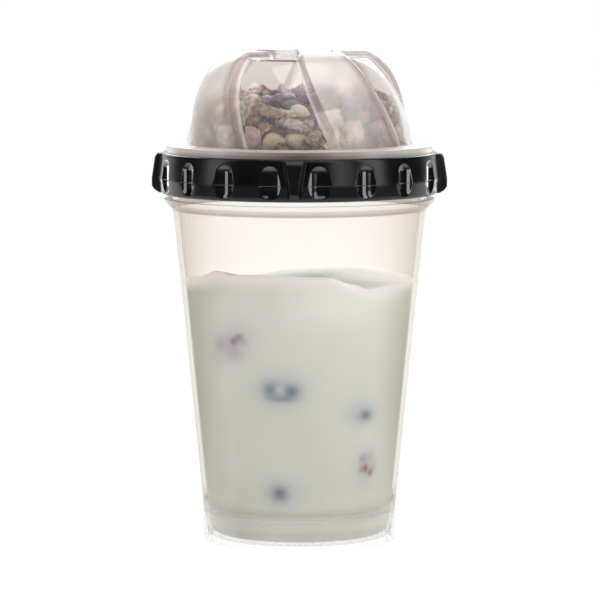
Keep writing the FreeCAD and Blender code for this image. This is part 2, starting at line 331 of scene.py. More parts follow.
class Graph:
    """Adds and joins the nodes of one tree."""

    def __init__(self, tree: Tree) -> None:
        """Works on this tree."""
        self.tree = tree

    def feed(self, socket: Socket, value: object) -> None:
        """Joins a socket to another, or sets its value.

        Args:
            socket: the input.
            value: an output socket, a node whose first output is meant, or a plain value.
        """
        if isinstance(value, Node):
            value = value.outputs[0]
        if isinstance(value, Socket):
            self.tree.links.new(value, socket)
        elif isinstance(value, tuple) and socket.type == "RGBA" and len(value) == 3:
            socket.default_value = (*value, 1.0)
        else:
            socket.default_value = value

    def add(self, kind: str, inputs: dict | None = None, **settings: object) -> Node:
        """Adds a node.

        Args:
            kind: the node's type.
            inputs: values or sockets by input name or index.
            settings: the node's own properties.

        Returns:
            The node.
        """
        node = self.tree.nodes.new(kind)
        for name, value in settings.items():
            setattr(node, name, value)
        for name, value in (inputs or {}).items():
            self.feed(node.inputs[name], value)
        return node

    def surface(self, shader: Node, kind: str = "ShaderNodeOutputMaterial") -> None:
        """Ends the tree with this shader."""
        self.add(kind, {"Surface": shader})

    def calc(self, operation: str, *values: object) -> Socket:
        """Result of one math operation.

        Args:
            operation: its name.
            values: numbers or sockets.

        Returns:
            The result's socket.
        """
        node = self.add("ShaderNodeMath", operation=operation)
        for socket, value in zip(node.inputs, values):
            self.feed(socket, value)
        return node.outputs[0]

    def times(self, first: object, second: object) -> Socket:
        """Product of two values."""
        return self.calc("MULTIPLY", first, second)

    def plus(self, first: object, second: object) -> Socket:
        """Sum of two values."""
        return self.calc("ADD", first, second)

    def larger(self, first: object, second: object) -> Socket:
        """Larger of two values."""
        return self.calc("MAXIMUM", first, second)

    def smaller(self, first: object, second: object) -> Socket:
        """Smaller of two values."""
        return self.calc("MINIMUM", first, second)

    def spot(self) -> Socket:
        """The object's own coordinates."""
        return self.add("ShaderNodeTexCoord").outputs["Object"]

    def parts(self, vector: object) -> Node:
        """Node that gives the X, Y and Z of a vector."""
        return self.add("ShaderNodeSeparateXYZ", {0: vector})

    def height(self) -> Socket:
        """Height on the object, in metres."""
        return self.parts(self.spot()).outputs["Z"]

    def kept(self, name: str) -> Socket:
        """Value kept on the mesh under this name."""
        return self.add("ShaderNodeAttribute", attribute_name=name).outputs["Fac"]

    def rays(self) -> bpy.types.NodeOutputs:
        """Kinds of ray that may look at the surface."""
        return self.add("ShaderNodeLightPath").outputs

    def facing(self) -> Socket:
        """How far a gloss or a clear wall turns away: 0 square on, 1 at its outline."""
        return self.add("ShaderNodeLayerWeight", {"Blend": 0.5}).outputs["Facing"]

    def tinted(self, first: object, second: object) -> Socket:
        """Product of two colours."""
        colours = {0: 1.0, 6: first, 7: second}
        return self.add("ShaderNodeMix", colours, data_type="RGBA", blend_type="MULTIPLY").outputs[2]

    def random(self, low: object, high: object, seed: object) -> Socket:
        """Random number between two, one for each point."""
        node = self.add("FunctionNodeRandomValue", {2: low, 3: high, "Seed": seed}, data_type="FLOAT")
        return node.outputs[1]

    def blend(self, share: object, first: object, second: object) -> Socket:
        """Colour this share of the way from the first to the second."""
        return self.add("ShaderNodeMix", {0: share, 6: first, 7: second}, data_type="RGBA").outputs[2]

    def noise(self, scale: object, vector: object = None, detail: float = 3.0) -> Socket:
        """Noise value over a vector, or over the object's own coordinates."""
        source = vector or self.spot()
        node = self.add("ShaderNodeTexNoise", {"Vector": source, "Scale": scale, "Detail": detail})
        return node.outputs["Fac"]

    def stretch(self, x: float, y: float, z: float) -> Socket:
        """The object's coordinates scaled along each axis."""
        return self.add("ShaderNodeMapping", {"Vector": self.spot(), "Scale": (x, y, z)}).outputs["Vector"]

    def span(self, value: object, low: float, high: float, start: float = 0.0,
             end: float = 1.0) -> Socket:
        """Value mapped from one range to another, held at its ends."""
        node = self.add("ShaderNodeMapRange", {"Value": value, "From Min": low, "From Max": high,
                                               "To Min": start, "To Max": end})
        return node.outputs["Result"]

    def bump(self, height: object, strength: float, depth: float) -> Socket:
        """Normal pushed by a height of this depth in millimetres."""
        node = self.add("ShaderNodeBump", {"Height": height, "Strength": strength, "Distance": depth * MM})
        return node.outputs["Normal"]


def new_group(name: str, kind: str, inputs: dict[str, tuple[str, object]],
              outputs: dict[str, str]) -> tuple[Graph, bpy.types.NodeOutputs, bpy.types.NodeInputs]:
    """Makes an empty node group with named sockets.

    Args:
        name: the group's name.
        kind: the tree's type.
        inputs: socket type and default value (or None) by name.
        outputs: socket type by name.

    Returns:
        The graph, what is given to it and what it puts out.
    """
    tree = bpy.data.node_groups.new(name, kind)
    for label, (socket_type, value) in inputs.items():
        socket = tree.interface.new_socket(label, in_out="INPUT", socket_type=socket_type)
        if value is not None:
            socket.default_value = value
    for label, socket_type in outputs.items():
        tree.interface.new_socket(label, in_out="OUTPUT", socket_type=socket_type)
    graph = Graph(tree)
    return graph, graph.add("NodeGroupInput").outputs, graph.add("NodeGroupOutput").inputs


def soft_spot_group() -> Tree:
    """Group that gives the mask of one soft round spot on the unrolled wall.

    Returns:
        The group's tree.
    """
    names = ("Across", "Up", "Centre Across", "Centre Up", "Half Width", "Half Height", "Lean")
    graph, given, made = new_group(
        "soft spot", "ShaderNodeTree", {name: (NUMBER, 0.0) for name in names}, {"Mask": NUMBER},
    )
    across = graph.calc("SUBTRACT", given["Across"], given["Centre Across"])
    up = graph.calc("SUBTRACT", given["Up"], given["Centre Up"])
    leaned = graph.plus(up, graph.times(across, given["Lean"]))
    wide, tall = (
        graph.calc("POWER", graph.calc("ABSOLUTE", graph.calc("DIVIDE", off, given[half])), 2.0)
        for off, half in ((across, "Half Width"), (leaned, "Half Height"))
    )
    graph.feed(made["Mask"], graph.calc("EXPONENT", graph.times(graph.plus(wide, tall), -1.0)))
    return graph.tree


def crumb_tone_group() -> Tree:
    """Group that varies a dry food's colour from piece to piece and over each piece.

    Returns:
        The group's tree.
    """
    graph, given, made = new_group(
        "crumb tone", "ShaderNodeTree",
        {"Pale": (COLOUR, None), "Middle": (COLOUR, None), "Toasted": (COLOUR, None),
         "Grain": (NUMBER, 900.0), "Patch": (NUMBER, 260.0)},
        {"Colour": COLOUR, "Height": NUMBER},
    )
    patch = graph.noise(given["Patch"])
    grain = graph.noise(given["Grain"], detail=2.0)
    level = graph.plus(graph.kept("tone"), graph.span(patch, 0.35, 0.65, -0.3, 0.3))
    low = graph.blend(graph.span(level, 0.0, 0.5), given["Pale"], given["Middle"])
    graph.feed(made["Colour"], graph.blend(graph.span(level, 0.5, 1.0), low, given["Toasted"]))
    graph.feed(made["Height"], graph.plus(patch, graph.times(grain, 0.5)))
    return graph.tree


# ---- finishes


@dataclass(frozen=True)
class Finish:
    """Finish of a surface, which fills one material."""

    name: str

    def shader(self, graph: Graph) -> Node:
        """Adds the finish's nodes.

        Args:
            graph: the material's graph.

        Returns:
            The shader that goes on the surface.
        """
        raise NotImplementedError

    def material(self) -> Material:
        """Makes the material.

        Returns:
            The material.
        """
        material = bpy.data.materials.new(self.name)
        material.use_nodes = True
        material.node_tree.nodes.clear()
        graph = Graph(material.node_tree)
        graph.surface(self.shader(graph))
        return material


@dataclass(frozen=True)
class MilkyPlastic(Finish):
    """Thin translucent wall: clear square on, warmer and milkier towards its outline.

    The film is painted shade: it darkens the yogurt seen through the wall towards its sides, up to
    near the yogurt's level and less towards the foot. The dim line on the collar's slope under the cap
    is painted shade too. Heights are in millimetres.
    """

    milk: Colour
    tint: Colour
    edge_tint: Colour
    veil: float
    edge_veil: float
    edge_power: float
    side_shade_tint: Colour | None = None
    side_shade_top: float = 91.0
    side_shade_fade: float = 3.0
    side_shade_foot: Pair = (8.0, 50.0)
    side_shade_least: float = 0.3
    side_shade_rise: Pair = (0.28, 0.66)
    side_shade_end: Pair = (0.67, 0.73)
    collar_shade_tint: Colour = WHITE
    collar_shade_foot: float = 115.0
    collar_shade_top: float = 117.2
    collar_shade_least: float = 0.45
    collar_shade_edge: float = 0.3
    passing: Colour = (0.99, 0.985, 0.98)
    passing_share: float = 0.9
    cloud_scale: float = 55.0
    streak_pitch: Point = (420.0, 420.0, 14.0)
    roughness: float = 0.28
    roughness_play: float = 0.05

    def painted_shade_band(self, graph: Graph) -> Socket:
        """Mask of painted shade: a dim stripe on the collar's slope, under the cap.

        Args:
            graph: the material's graph.

        Returns:
            The mask.
        """
        height = graph.height()
        foot, top, edge = self.collar_shade_foot * MM, self.collar_shade_top * MM, self.collar_shade_edge * MM
        rise = graph.span(height, foot - edge / 3, foot + edge)
        fade = graph.span(height, foot + edge, top, 1.0, self.collar_shade_least)
        return graph.times(graph.times(rise, fade), graph.span(height, top, top + edge, 1.0, 0.0))

    def film(self, graph: Graph, facing: Socket) -> Socket:
        """Mask of the painted shade that darkens the yogurt's sides, seen through the wall, below its level.

        Args:
            graph: the material's graph.
            facing: how far the wall turns away.

        Returns:
            The mask.
        """
        height = graph.height()
        low, high = self.side_shade_foot
        full = graph.smaller(
            graph.span(height, low * MM, high * MM, self.side_shade_least, 1.0),
            graph.span(height, (self.side_shade_top - self.side_shade_fade) * MM, self.side_shade_top * MM, 1.0, 0.0),
        )
        rise, end = graph.span(facing, *self.side_shade_rise), graph.span(facing, *self.side_shade_end, 1.0, 0.0)
        return graph.times(full, graph.smaller(rise, end))

    def shader(self, graph: Graph) -> Node:
        """Adds the finish's nodes.

        Args:
            graph: the material's graph.

        Returns:
            The shader that goes on the surface.
        """
        streaks = graph.noise(1.0, graph.stretch(*self.streak_pitch))
        clouds = graph.noise(self.cloud_scale)
        facing = graph.facing()
        rise = graph.times(graph.calc("POWER", facing, self.edge_power), self.edge_veil - self.veil)
        uneven = graph.span(clouds, 0.35, 0.65, -0.2 * self.veil, 0.2 * self.veil)
        path = graph.rays()
        indirect = graph.larger(path["Is Shadow Ray"], path["Is Diffuse Ray"])
        share = graph.larger(graph.smaller(graph.plus(graph.plus(rise, uneven), self.veil), 1.0), 0.0)
        share = graph.times(share, graph.calc("SUBTRACT", 1.0, graph.times(indirect, self.passing_share)))
        tint = graph.blend(graph.calc("POWER", facing, 2.0), self.tint, self.edge_tint)
        # painted shade: the yogurt seen through the wall is darkened towards its sides, less towards the foot
        if self.side_shade_tint:
            tint = graph.tinted(tint, graph.blend(self.film(graph, facing), WHITE, self.side_shade_tint))
        # painted shade: a dim stripe on the collar's slope under the cap
        tint = graph.tinted(tint, graph.blend(self.painted_shade_band(graph), WHITE, self.collar_shade_tint))
        clear = graph.add("ShaderNodeBsdfTransparent", {"Color": graph.blend(indirect, tint, self.passing)})
        low, high = self.roughness - self.roughness_play, self.roughness + self.roughness_play
        body = graph.add("ShaderNodeBsdfPrincipled", {
            "Base Color": graph.blend(clouds, self.milk, tuple(0.94 * c for c in self.milk)),
            "Roughness": graph.span(streaks, 0.3, 0.7, low, high),
            "IOR": PLASTIC_IOR, "Normal": graph.bump(streaks, 0.15, 0.03),
        })
        return graph.add("ShaderNodeMixShader", {0: share, 1: clear, 2: body})


@dataclass(frozen=True)
class ClearPlastic(Finish):
    """Refracting plastic, polished or frosted, that lets light pass to what it covers.

    It turns to side towards its outline, to foot, a painted highlight, on the low part of a panel's
    flank, to fade at the flank's lower end, and to a painted shade colour in the dim stripe along a
    panel's far side.
    """

    body: Colour
    clarity: float
    roughness: float
    side: Colour | None = None
    # painted highlight: a bright colour low on a panel's flank; the fade colour takes over lower down
    foot: Colour | None = None
    fade: Colour = (0.95, 0.93, 0.92)
    fade_foot: float = 139.0
    fade_top: float = 150.0
    side_power: float = 2.0
    # painted shade: colour of the dim stripe along a panel's far side
    painted_shade_band: Colour | None = None
    shade: Colour = (0.95, 0.94, 0.93)
    ripple: Colour = (0.5, 0.47, 0.45)
    ripple_share: float = 0.06
    ripple_pitch: Point = (130.0, 130.0, 70.0)
    speckle_scale: float = 60.0

    def shader(self, graph: Graph) -> Node:
        """Adds the finish's nodes.

        Args:
            graph: the material's graph.

        Returns:
            The shader that goes on the surface.
        """
        ripples = graph.noise(1.0, graph.stretch(*self.ripple_pitch), 2.0)
        speckle = graph.noise(self.speckle_scale)
        turned = graph.calc("POWER", graph.facing(), self.side_power)
        base = graph.blend(turned, self.body, self.side or self.body)
        # painted highlight low on the flank, giving way to the fade colour near the flange
        if self.foot:
            base = graph.blend(graph.span(graph.kept("raised"), 0.1, 0.4), self.foot, base)
            low = graph.span(graph.height(), self.fade_foot * MM, self.fade_top * MM, 1.0, 0.0)
            base = graph.blend(low, base, self.fade)
        # painted shade in the dim stripe along each panel's far side
        if self.painted_shade_band:
            base = graph.blend(graph.kept("shaded"), base, self.painted_shade_band)
        body = graph.add("ShaderNodeBsdfPrincipled", {
            "Base Color": graph.blend(graph.times(ripples, self.ripple_share), base, self.ripple),
            "Roughness": graph.span(speckle, 0.3, 0.7, 0.85 * self.roughness, 1.15 * self.roughness),
            "IOR": PLASTIC_IOR, "Transmission Weight": self.clarity,
            "Normal": graph.bump(ripples, 0.3, 0.12),
        })
        path = graph.rays()
        lit_through = graph.larger(path["Is Shadow Ray"], path["Is Diffuse Ray"])
        clear = graph.add("ShaderNodeBsdfTransparent", {"Color": self.shade})
        return graph.add("ShaderNodeMixShader", {0: lit_through, 1: body, 2: clear})


@dataclass(frozen=True)
class BlackPlastic(Finish):
    """Moulded black plastic with a fine grain, satin or polished."""

    roughness: float
    grain: float
    gloss: float = 1.5
    colour: Colour = (0.003, 0.003, 0.0038)
    worn: Colour = (0.006, 0.006, 0.0068)
    grain_scale: float = 2600.0
    wear_scale: float = 90.0

    def shader(self, graph: Graph) -> Node:
        """Adds the finish's nodes.

        Args:
            graph: the material's graph.

        Returns:
            The shader that goes on the surface.
        """
        grain = graph.noise(self.grain_scale, detail=2.0)
        patches = graph.noise(self.wear_scale)
        return graph.add("ShaderNodeBsdfPrincipled", {
            "Base Color": graph.blend(graph.span(patches, 0.45, 0.75), self.colour, self.worn),
            "Roughness": graph.span(patches, 0.3, 0.7, 0.85 * self.roughness, 1.2 * self.roughness),
            "IOR": self.gloss, "Normal": graph.bump(grain, self.grain, 0.03),
        })


@dataclass(frozen=True)
class Spot:
    """One soft spot of a berry seen through the wall, or a patch of painted light and shade on the yogurt.

    Its azimuth is in degrees, and its height and half sizes are in millimetres.
    """

    azimuth: float
    height: float
    half_width: float
    half_height: float
    strength: float
    tint: Colour
    lean: float = 0.0


BERRY_SKIN: Colour = (0.13, 0.175, 0.235)
BERRY_HALO: Colour = (0.35, 0.40, 0.45)
WINE: Colour = (0.24, 0.09, 0.13)
PLUM: Colour = (0.38, 0.31, 0.40)


@dataclass(frozen=True)
class Yogurt(Finish):
    """Plain yogurt with berries showing softly through it beside the wall, and a top painted lighter."""

    name: str = "plain yogurt"
    cream: Colour = (0.695, 0.702, 0.65)
    shaded: Colour = (0.655, 0.665, 0.605)
    # painted light: the top surface is far paler than the side, making up for the little light under the cap
    surface: Colour = (0.97, 0.965, 0.94)
    rim: Colour = (0.83, 0.77, 0.75)
    rim_depth: Pair = (1.6, 5.4)
    rim_share: float = 0.95
    top_edge: float = 0.6
    cloud_scale: float = 38.0
    curd_scale: float = 420.0
    arc_radius: float = 37.0
    spots: tuple[Spot, ...] = (
        # painted light and shade below the level, lighter at the right and darker at the left, and a smear
        # along the fold at its right
        Spot(18.0, 85.0, 20.0, 10.0, 0.55, (0.88, 0.86, 0.82)),
        Spot(50.0, 89.6, 13.0, 4.5, 0.75, (0.86, 0.85, 0.81), 0.1),
        Spot(22.0, 92.3, 5.4, 1.1, 0.95, (0.97, 0.94, 0.90), 0.46),
        Spot(-60.0, 89.5, 12.0, 2.6, 0.35, (0.56, 0.54, 0.47), 0.05),
        # upper left, a red berry
        Spot(-38.5, 70.9, 8.0, 5.2, 0.50, PLUM, -0.35),
        Spot(-36.6, 72.0, 1.5, 1.4, 0.68, WINE),
        Spot(-33.1, 73.5, 1.6, 1.3, 0.60, WINE),
        Spot(-31.0, 72.2, 1.8, 1.5, 0.45, PLUM),
        Spot(-46.0, 71.0, 3.0, 2.2, 0.40, PLUM),
        Spot(-36.5, 67.8, 3.0, 2.4, 0.38, PLUM),
        # middle left, a large dark berry with its crown towards the wall
        Spot(-10.6, 55.7, 7.4, 4.9, 0.72, BERRY_HALO),
        Spot(-15.6, 56.0, 2.9, 2.6, 0.70, BERRY_SKIN),
        Spot(-4.6, 55.5, 3.3, 2.4, 0.85, BERRY_SKIN),
        Spot(-10.0, 52.9, 4.6, 1.3, 0.55, BERRY_SKIN),
        Spot(-10.6, 56.0, 2.0, 2.0, 0.75, (0.60, 0.62, 0.60)),
        # right, a small dark berry
        Spot(37.6, 46.7, 7.4, 4.6, 0.55, BERRY_HALO),
        Spot(40.4, 46.4, 3.0, 1.9, 0.78, BERRY_SKIN),
        # lower right, a red berry
        Spot(43.5, 28.6, 5.4, 6.2, 0.40, PLUM),
        Spot(40.4, 31.3, 1.9, 1.7, 0.50, (0.26, 0.15, 0.23)),
        Spot(42.9, 27.8, 1.4, 1.7, 0.80, WINE),
        Spot(47.1, 26.2, 1.4, 1.4, 0.72, WINE),
        Spot(39.6, 27.6, 1.4, 1.2, 0.42, WINE),
        Spot(49.4, 27.8, 1.6, 1.4, 0.40, PLUM),
        Spot(46.0, 31.6, 1.8, 1.4, 0.35, PLUM),
        # bottom, a dark berry
        Spot(-11.7, 19.7, 6.8, 5.2, 0.48, BERRY_HALO),
        Spot(-11.9, 20.0, 3.2, 2.6, 0.8, BERRY_SKIN),
    )

    def shader(self, graph: Graph) -> Node:
        """Adds the finish's nodes.

        Args:
            graph: the material's graph.

        Returns:
            The shader that goes on the surface.
        """
        place_on_wall = graph.add("ShaderNodeAttribute", attribute_name="unrolled")
        unrolled = graph.parts(place_on_wall.outputs["Vector"]).outputs
        across = graph.times(unrolled["X"], math.radians(self.arc_radius))
        clouds = graph.noise(self.cloud_scale)
        colour = graph.blend(graph.span(clouds, 0.35, 0.65), self.cream, self.shaded)
        below = unrolled["Z"]
        colour = graph.blend(graph.span(below, *self.rim_depth, self.rim_share, 0.0), colour, self.rim)
        # painted light: the top surface takes the pale surface colour
        colour = graph.blend(graph.span(below, -self.top_edge, 0.0, 1.0, 0.0), colour, self.surface)
        group = soft_spot_group()
        for spot in self.spots:
            node = graph.add("ShaderNodeGroup", node_tree=group)
            for label, value in (("Across", across), ("Up", unrolled["Y"]),
                                 ("Centre Across", math.radians(spot.azimuth) * self.arc_radius),
                                 ("Centre Up", spot.height), ("Half Width", spot.half_width),
                                 ("Half Height", spot.half_height), ("Lean", spot.lean)):
                graph.feed(node.inputs[label], value)
            colour = graph.blend(graph.times(node.outputs["Mask"], spot.strength), colour, spot.tint)
        return graph.add("ShaderNodeBsdfPrincipled", {
            "Base Color": colour,
            "Roughness": graph.span(clouds, 0.3, 0.7, 0.38, 0.5),
            "IOR": 1.38, "Normal": graph.bump(graph.noise(self.curd_scale), 0.15, 0.1),
            "Subsurface Weight": 0.6, "Subsurface Radius": (1.0, 0.95, 0.85), "Subsurface Scale": 0.006,
        })


@dataclass(frozen=True)
class BerrySkin(Finish):
    """Skin of a berry with a paler bloom in patches."""

    skin: Colour
    bloom: Colour
    roughness: float = 0.5
    patch_scale: float = 350.0

    def shader(self, graph: Graph) -> Node:
        """Adds the finish's nodes.

        Args:
            graph: the material's graph.

        Returns:
            The shader that goes on the surface.
        """
        patches = graph.noise(self.patch_scale)
        return graph.add("ShaderNodeBsdfPrincipled", {
            "Base Color": graph.blend(graph.span(patches, 0.42, 0.65), self.skin, self.bloom),
            "Roughness": graph.span(patches, 0.3, 0.7, self.roughness - 0.1, self.roughness + 0.1),
            "Normal": graph.bump(patches, 0.2, 0.1),
        })


@dataclass(frozen=True)
class DryFood(Finish):
    """Matte, grainy finish of one kind of granola piece."""

    group: Tree
    pale: Colour
    middle: Colour
    toasted: Colour
    roughness: float = 0.7
    grain: float = 900.0
    patch: float = 260.0
    relief: float = 0.35

    def shader(self, graph: Graph) -> Node:
        """Adds the finish's nodes.

        Args:
            graph: the material's graph.

        Returns:
            The shader that goes on the surface.
        """
        tone = graph.add("ShaderNodeGroup", node_tree=self.group)
        for label, value in (("Pale", self.pale), ("Middle", self.middle), ("Toasted", self.toasted),
                             ("Grain", self.grain), ("Patch", self.patch)):
            graph.feed(tone.inputs[label], value)
        height = tone.outputs["Height"]
        return graph.add("ShaderNodeBsdfPrincipled", {
            "Base Color": tone.outputs["Colour"],
            "Roughness": graph.span(height, 0.4, 1.1, self.roughness - 0.1, self.roughness + 0.1),
            "Normal": graph.bump(height, 0.6, self.relief),
        })


# ---- repeats by geometry nodes


def ring_of_copies_tree() -> Tree:
    """Tree that sets copies of a shape round the axis, welds them and twists them by height.

    Returns:
        The tree.
    """
    graph, given, made = new_group(
        "ring of copies", "GeometryNodeTree",
        {"Geometry": (GEOMETRY, None), "Count": ("NodeSocketInt", 4), "Twist": (NUMBER, 0.0),
         "Twist Foot": (NUMBER, 0.0), "Twist Top": (NUMBER, 1.0), "Weld": (NUMBER, 0.00001),
         **{f"Finish {i}": (MATERIAL, None) for i in range(FINISHES)}},
        {"Geometry": GEOMETRY},
    )
    count = given["Count"]
    points = graph.add("GeometryNodePoints", {"Count": count})
    pitch = graph.calc("DIVIDE", 2 * math.pi, count)
    angle = graph.times(graph.add("GeometryNodeInputIndex"), pitch)
    copies = graph.add("GeometryNodeInstanceOnPoints", {
        "Points": points, "Instance": given["Geometry"],
        "Rotation": graph.add("ShaderNodeCombineXYZ", {"Z": angle}),
    })
    real = graph.add("GeometryNodeRealizeInstances", {"Geometry": copies})
    welded = graph.add("GeometryNodeMergeByDistance", {"Geometry": real, "Distance": given["Weld"]})
    position = graph.add("GeometryNodeInputPosition").outputs[0]
    lag = graph.span(graph.parts(position).outputs["Z"], given["Twist Foot"],
                     given["Twist Top"], given["Twist"], 0.0)
    twisted = graph.add("ShaderNodeVectorRotate", {"Vector": position, "Angle": lag}, rotation_type="Z_AXIS")
    geometry = graph.add("GeometryNodeSetPosition", {"Geometry": welded, "Position": twisted})
    finish = graph.add("GeometryNodeInputNamedAttribute", {"Name": "finish"}, data_type="INT")
    for i in range(FINISHES):
        same = graph.add("FunctionNodeCompare", {2: finish, 3: i}, data_type="INT", operation="EQUAL")
        geometry = graph.add("GeometryNodeSetMaterial", {
            "Geometry": geometry, "Selection": same, "Material": given[f"Finish {i}"],
        })
    graph.feed(made["Geometry"], geometry)
    return graph.tree


def scatter_tree() -> Tree:
    """Tree that lays many small pieces on a core, each with its own turn, size and tone.

    Returns:
        The tree.
    """
    graph, given, made = new_group(
        "scatter on core", "GeometryNodeTree",
        {"Geometry": (GEOMETRY, None), "Kinds": ("NodeSocketCollection", None), "Density": (NUMBER, 10000.0),
         "Seed": ("NodeSocketInt", 1), "Smallest": (NUMBER, 0.8), "Largest": (NUMBER, 1.2),
         "Lift Low": (NUMBER, 0.0), "Lift High": (NUMBER, 0.001), "Tilt": (NUMBER, 0.5),
         "Material": (MATERIAL, None)},
        {"Geometry": GEOMETRY},
    )
    seed, tilt = given["Seed"], given["Tilt"]
    cover = graph.add("GeometryNodeInputNamedAttribute", {"Name": "cover"}, data_type="FLOAT")
    spread = graph.add("GeometryNodeDistributePointsOnFaces", {
        "Mesh": given["Geometry"], "Seed": seed, "Density": graph.times(given["Density"], cover),
    })
    lift = graph.random(given["Lift Low"], given["Lift High"], seed)
    outward = spread.outputs["Normal"]
    offset = graph.add("ShaderNodeVectorMath", {0: outward, "Scale": lift}, operation="SCALE")
    raised = graph.add("GeometryNodeSetPosition", {"Geometry": spread.outputs["Points"], "Offset": offset})
    kinds = graph.add("GeometryNodeCollectionInfo", {
        "Collection": given["Kinds"], "Separate Children": True, "Reset Children": True,
    })
    back = graph.times(tilt, -1.0)
    low = graph.add("ShaderNodeCombineXYZ", {"X": back, "Y": back, "Z": 0.0})
    high = graph.add("ShaderNodeCombineXYZ", {"X": tilt, "Y": tilt, "Z": 2 * math.pi})
    wobble = graph.add("FunctionNodeRandomValue", {0: low, 1: high, "Seed": seed}, data_type="FLOAT_VECTOR")
    stand = graph.add("FunctionNodeAlignRotationToVector", {"Vector": outward}, axis="Z")
    turned = graph.add("FunctionNodeRotateRotation", {0: stand, 1: wobble}, rotation_space="LOCAL")
    laid = graph.add("GeometryNodeInstanceOnPoints", {
        "Points": raised, "Instance": kinds, "Pick Instance": True,
        "Rotation": turned,
        "Scale": graph.random(given["Smallest"], given["Largest"], graph.plus(seed, 7.0)),
    })
    toned = graph.add("GeometryNodeStoreNamedAttribute", {
        "Geometry": laid, "Name": "tone", "Value": graph.random(0.0, 1.0, graph.plus(seed, 13.0)),
    }, data_type="FLOAT", domain="INSTANCE")
    real = graph.add("GeometryNodeRealizeInstances", {"Geometry": toned})
    dressed = graph.add("GeometryNodeSetMaterial", {"Geometry": real, "Material": given["Material"]})
    graph.feed(made["Geometry"], dressed)
    return graph.tree


def grow(piece: Object, tree: Tree, values: dict[str, object]) -> None:
    """Adds a Geometry Nodes modifier and sets its inputs by their identifiers.

    Args:
        piece: the object that carries it.
        tree: the node tree.
        values: by input name.
    """
    modifier = piece.modifiers.new(tree.name, "NODES")
    modifier.node_group = tree
    for item in tree.interface.items_tree:
        if item.in_out == "INPUT" and item.name in values:
            modifier[item.identifier] = values[item.name]


# ---- cup


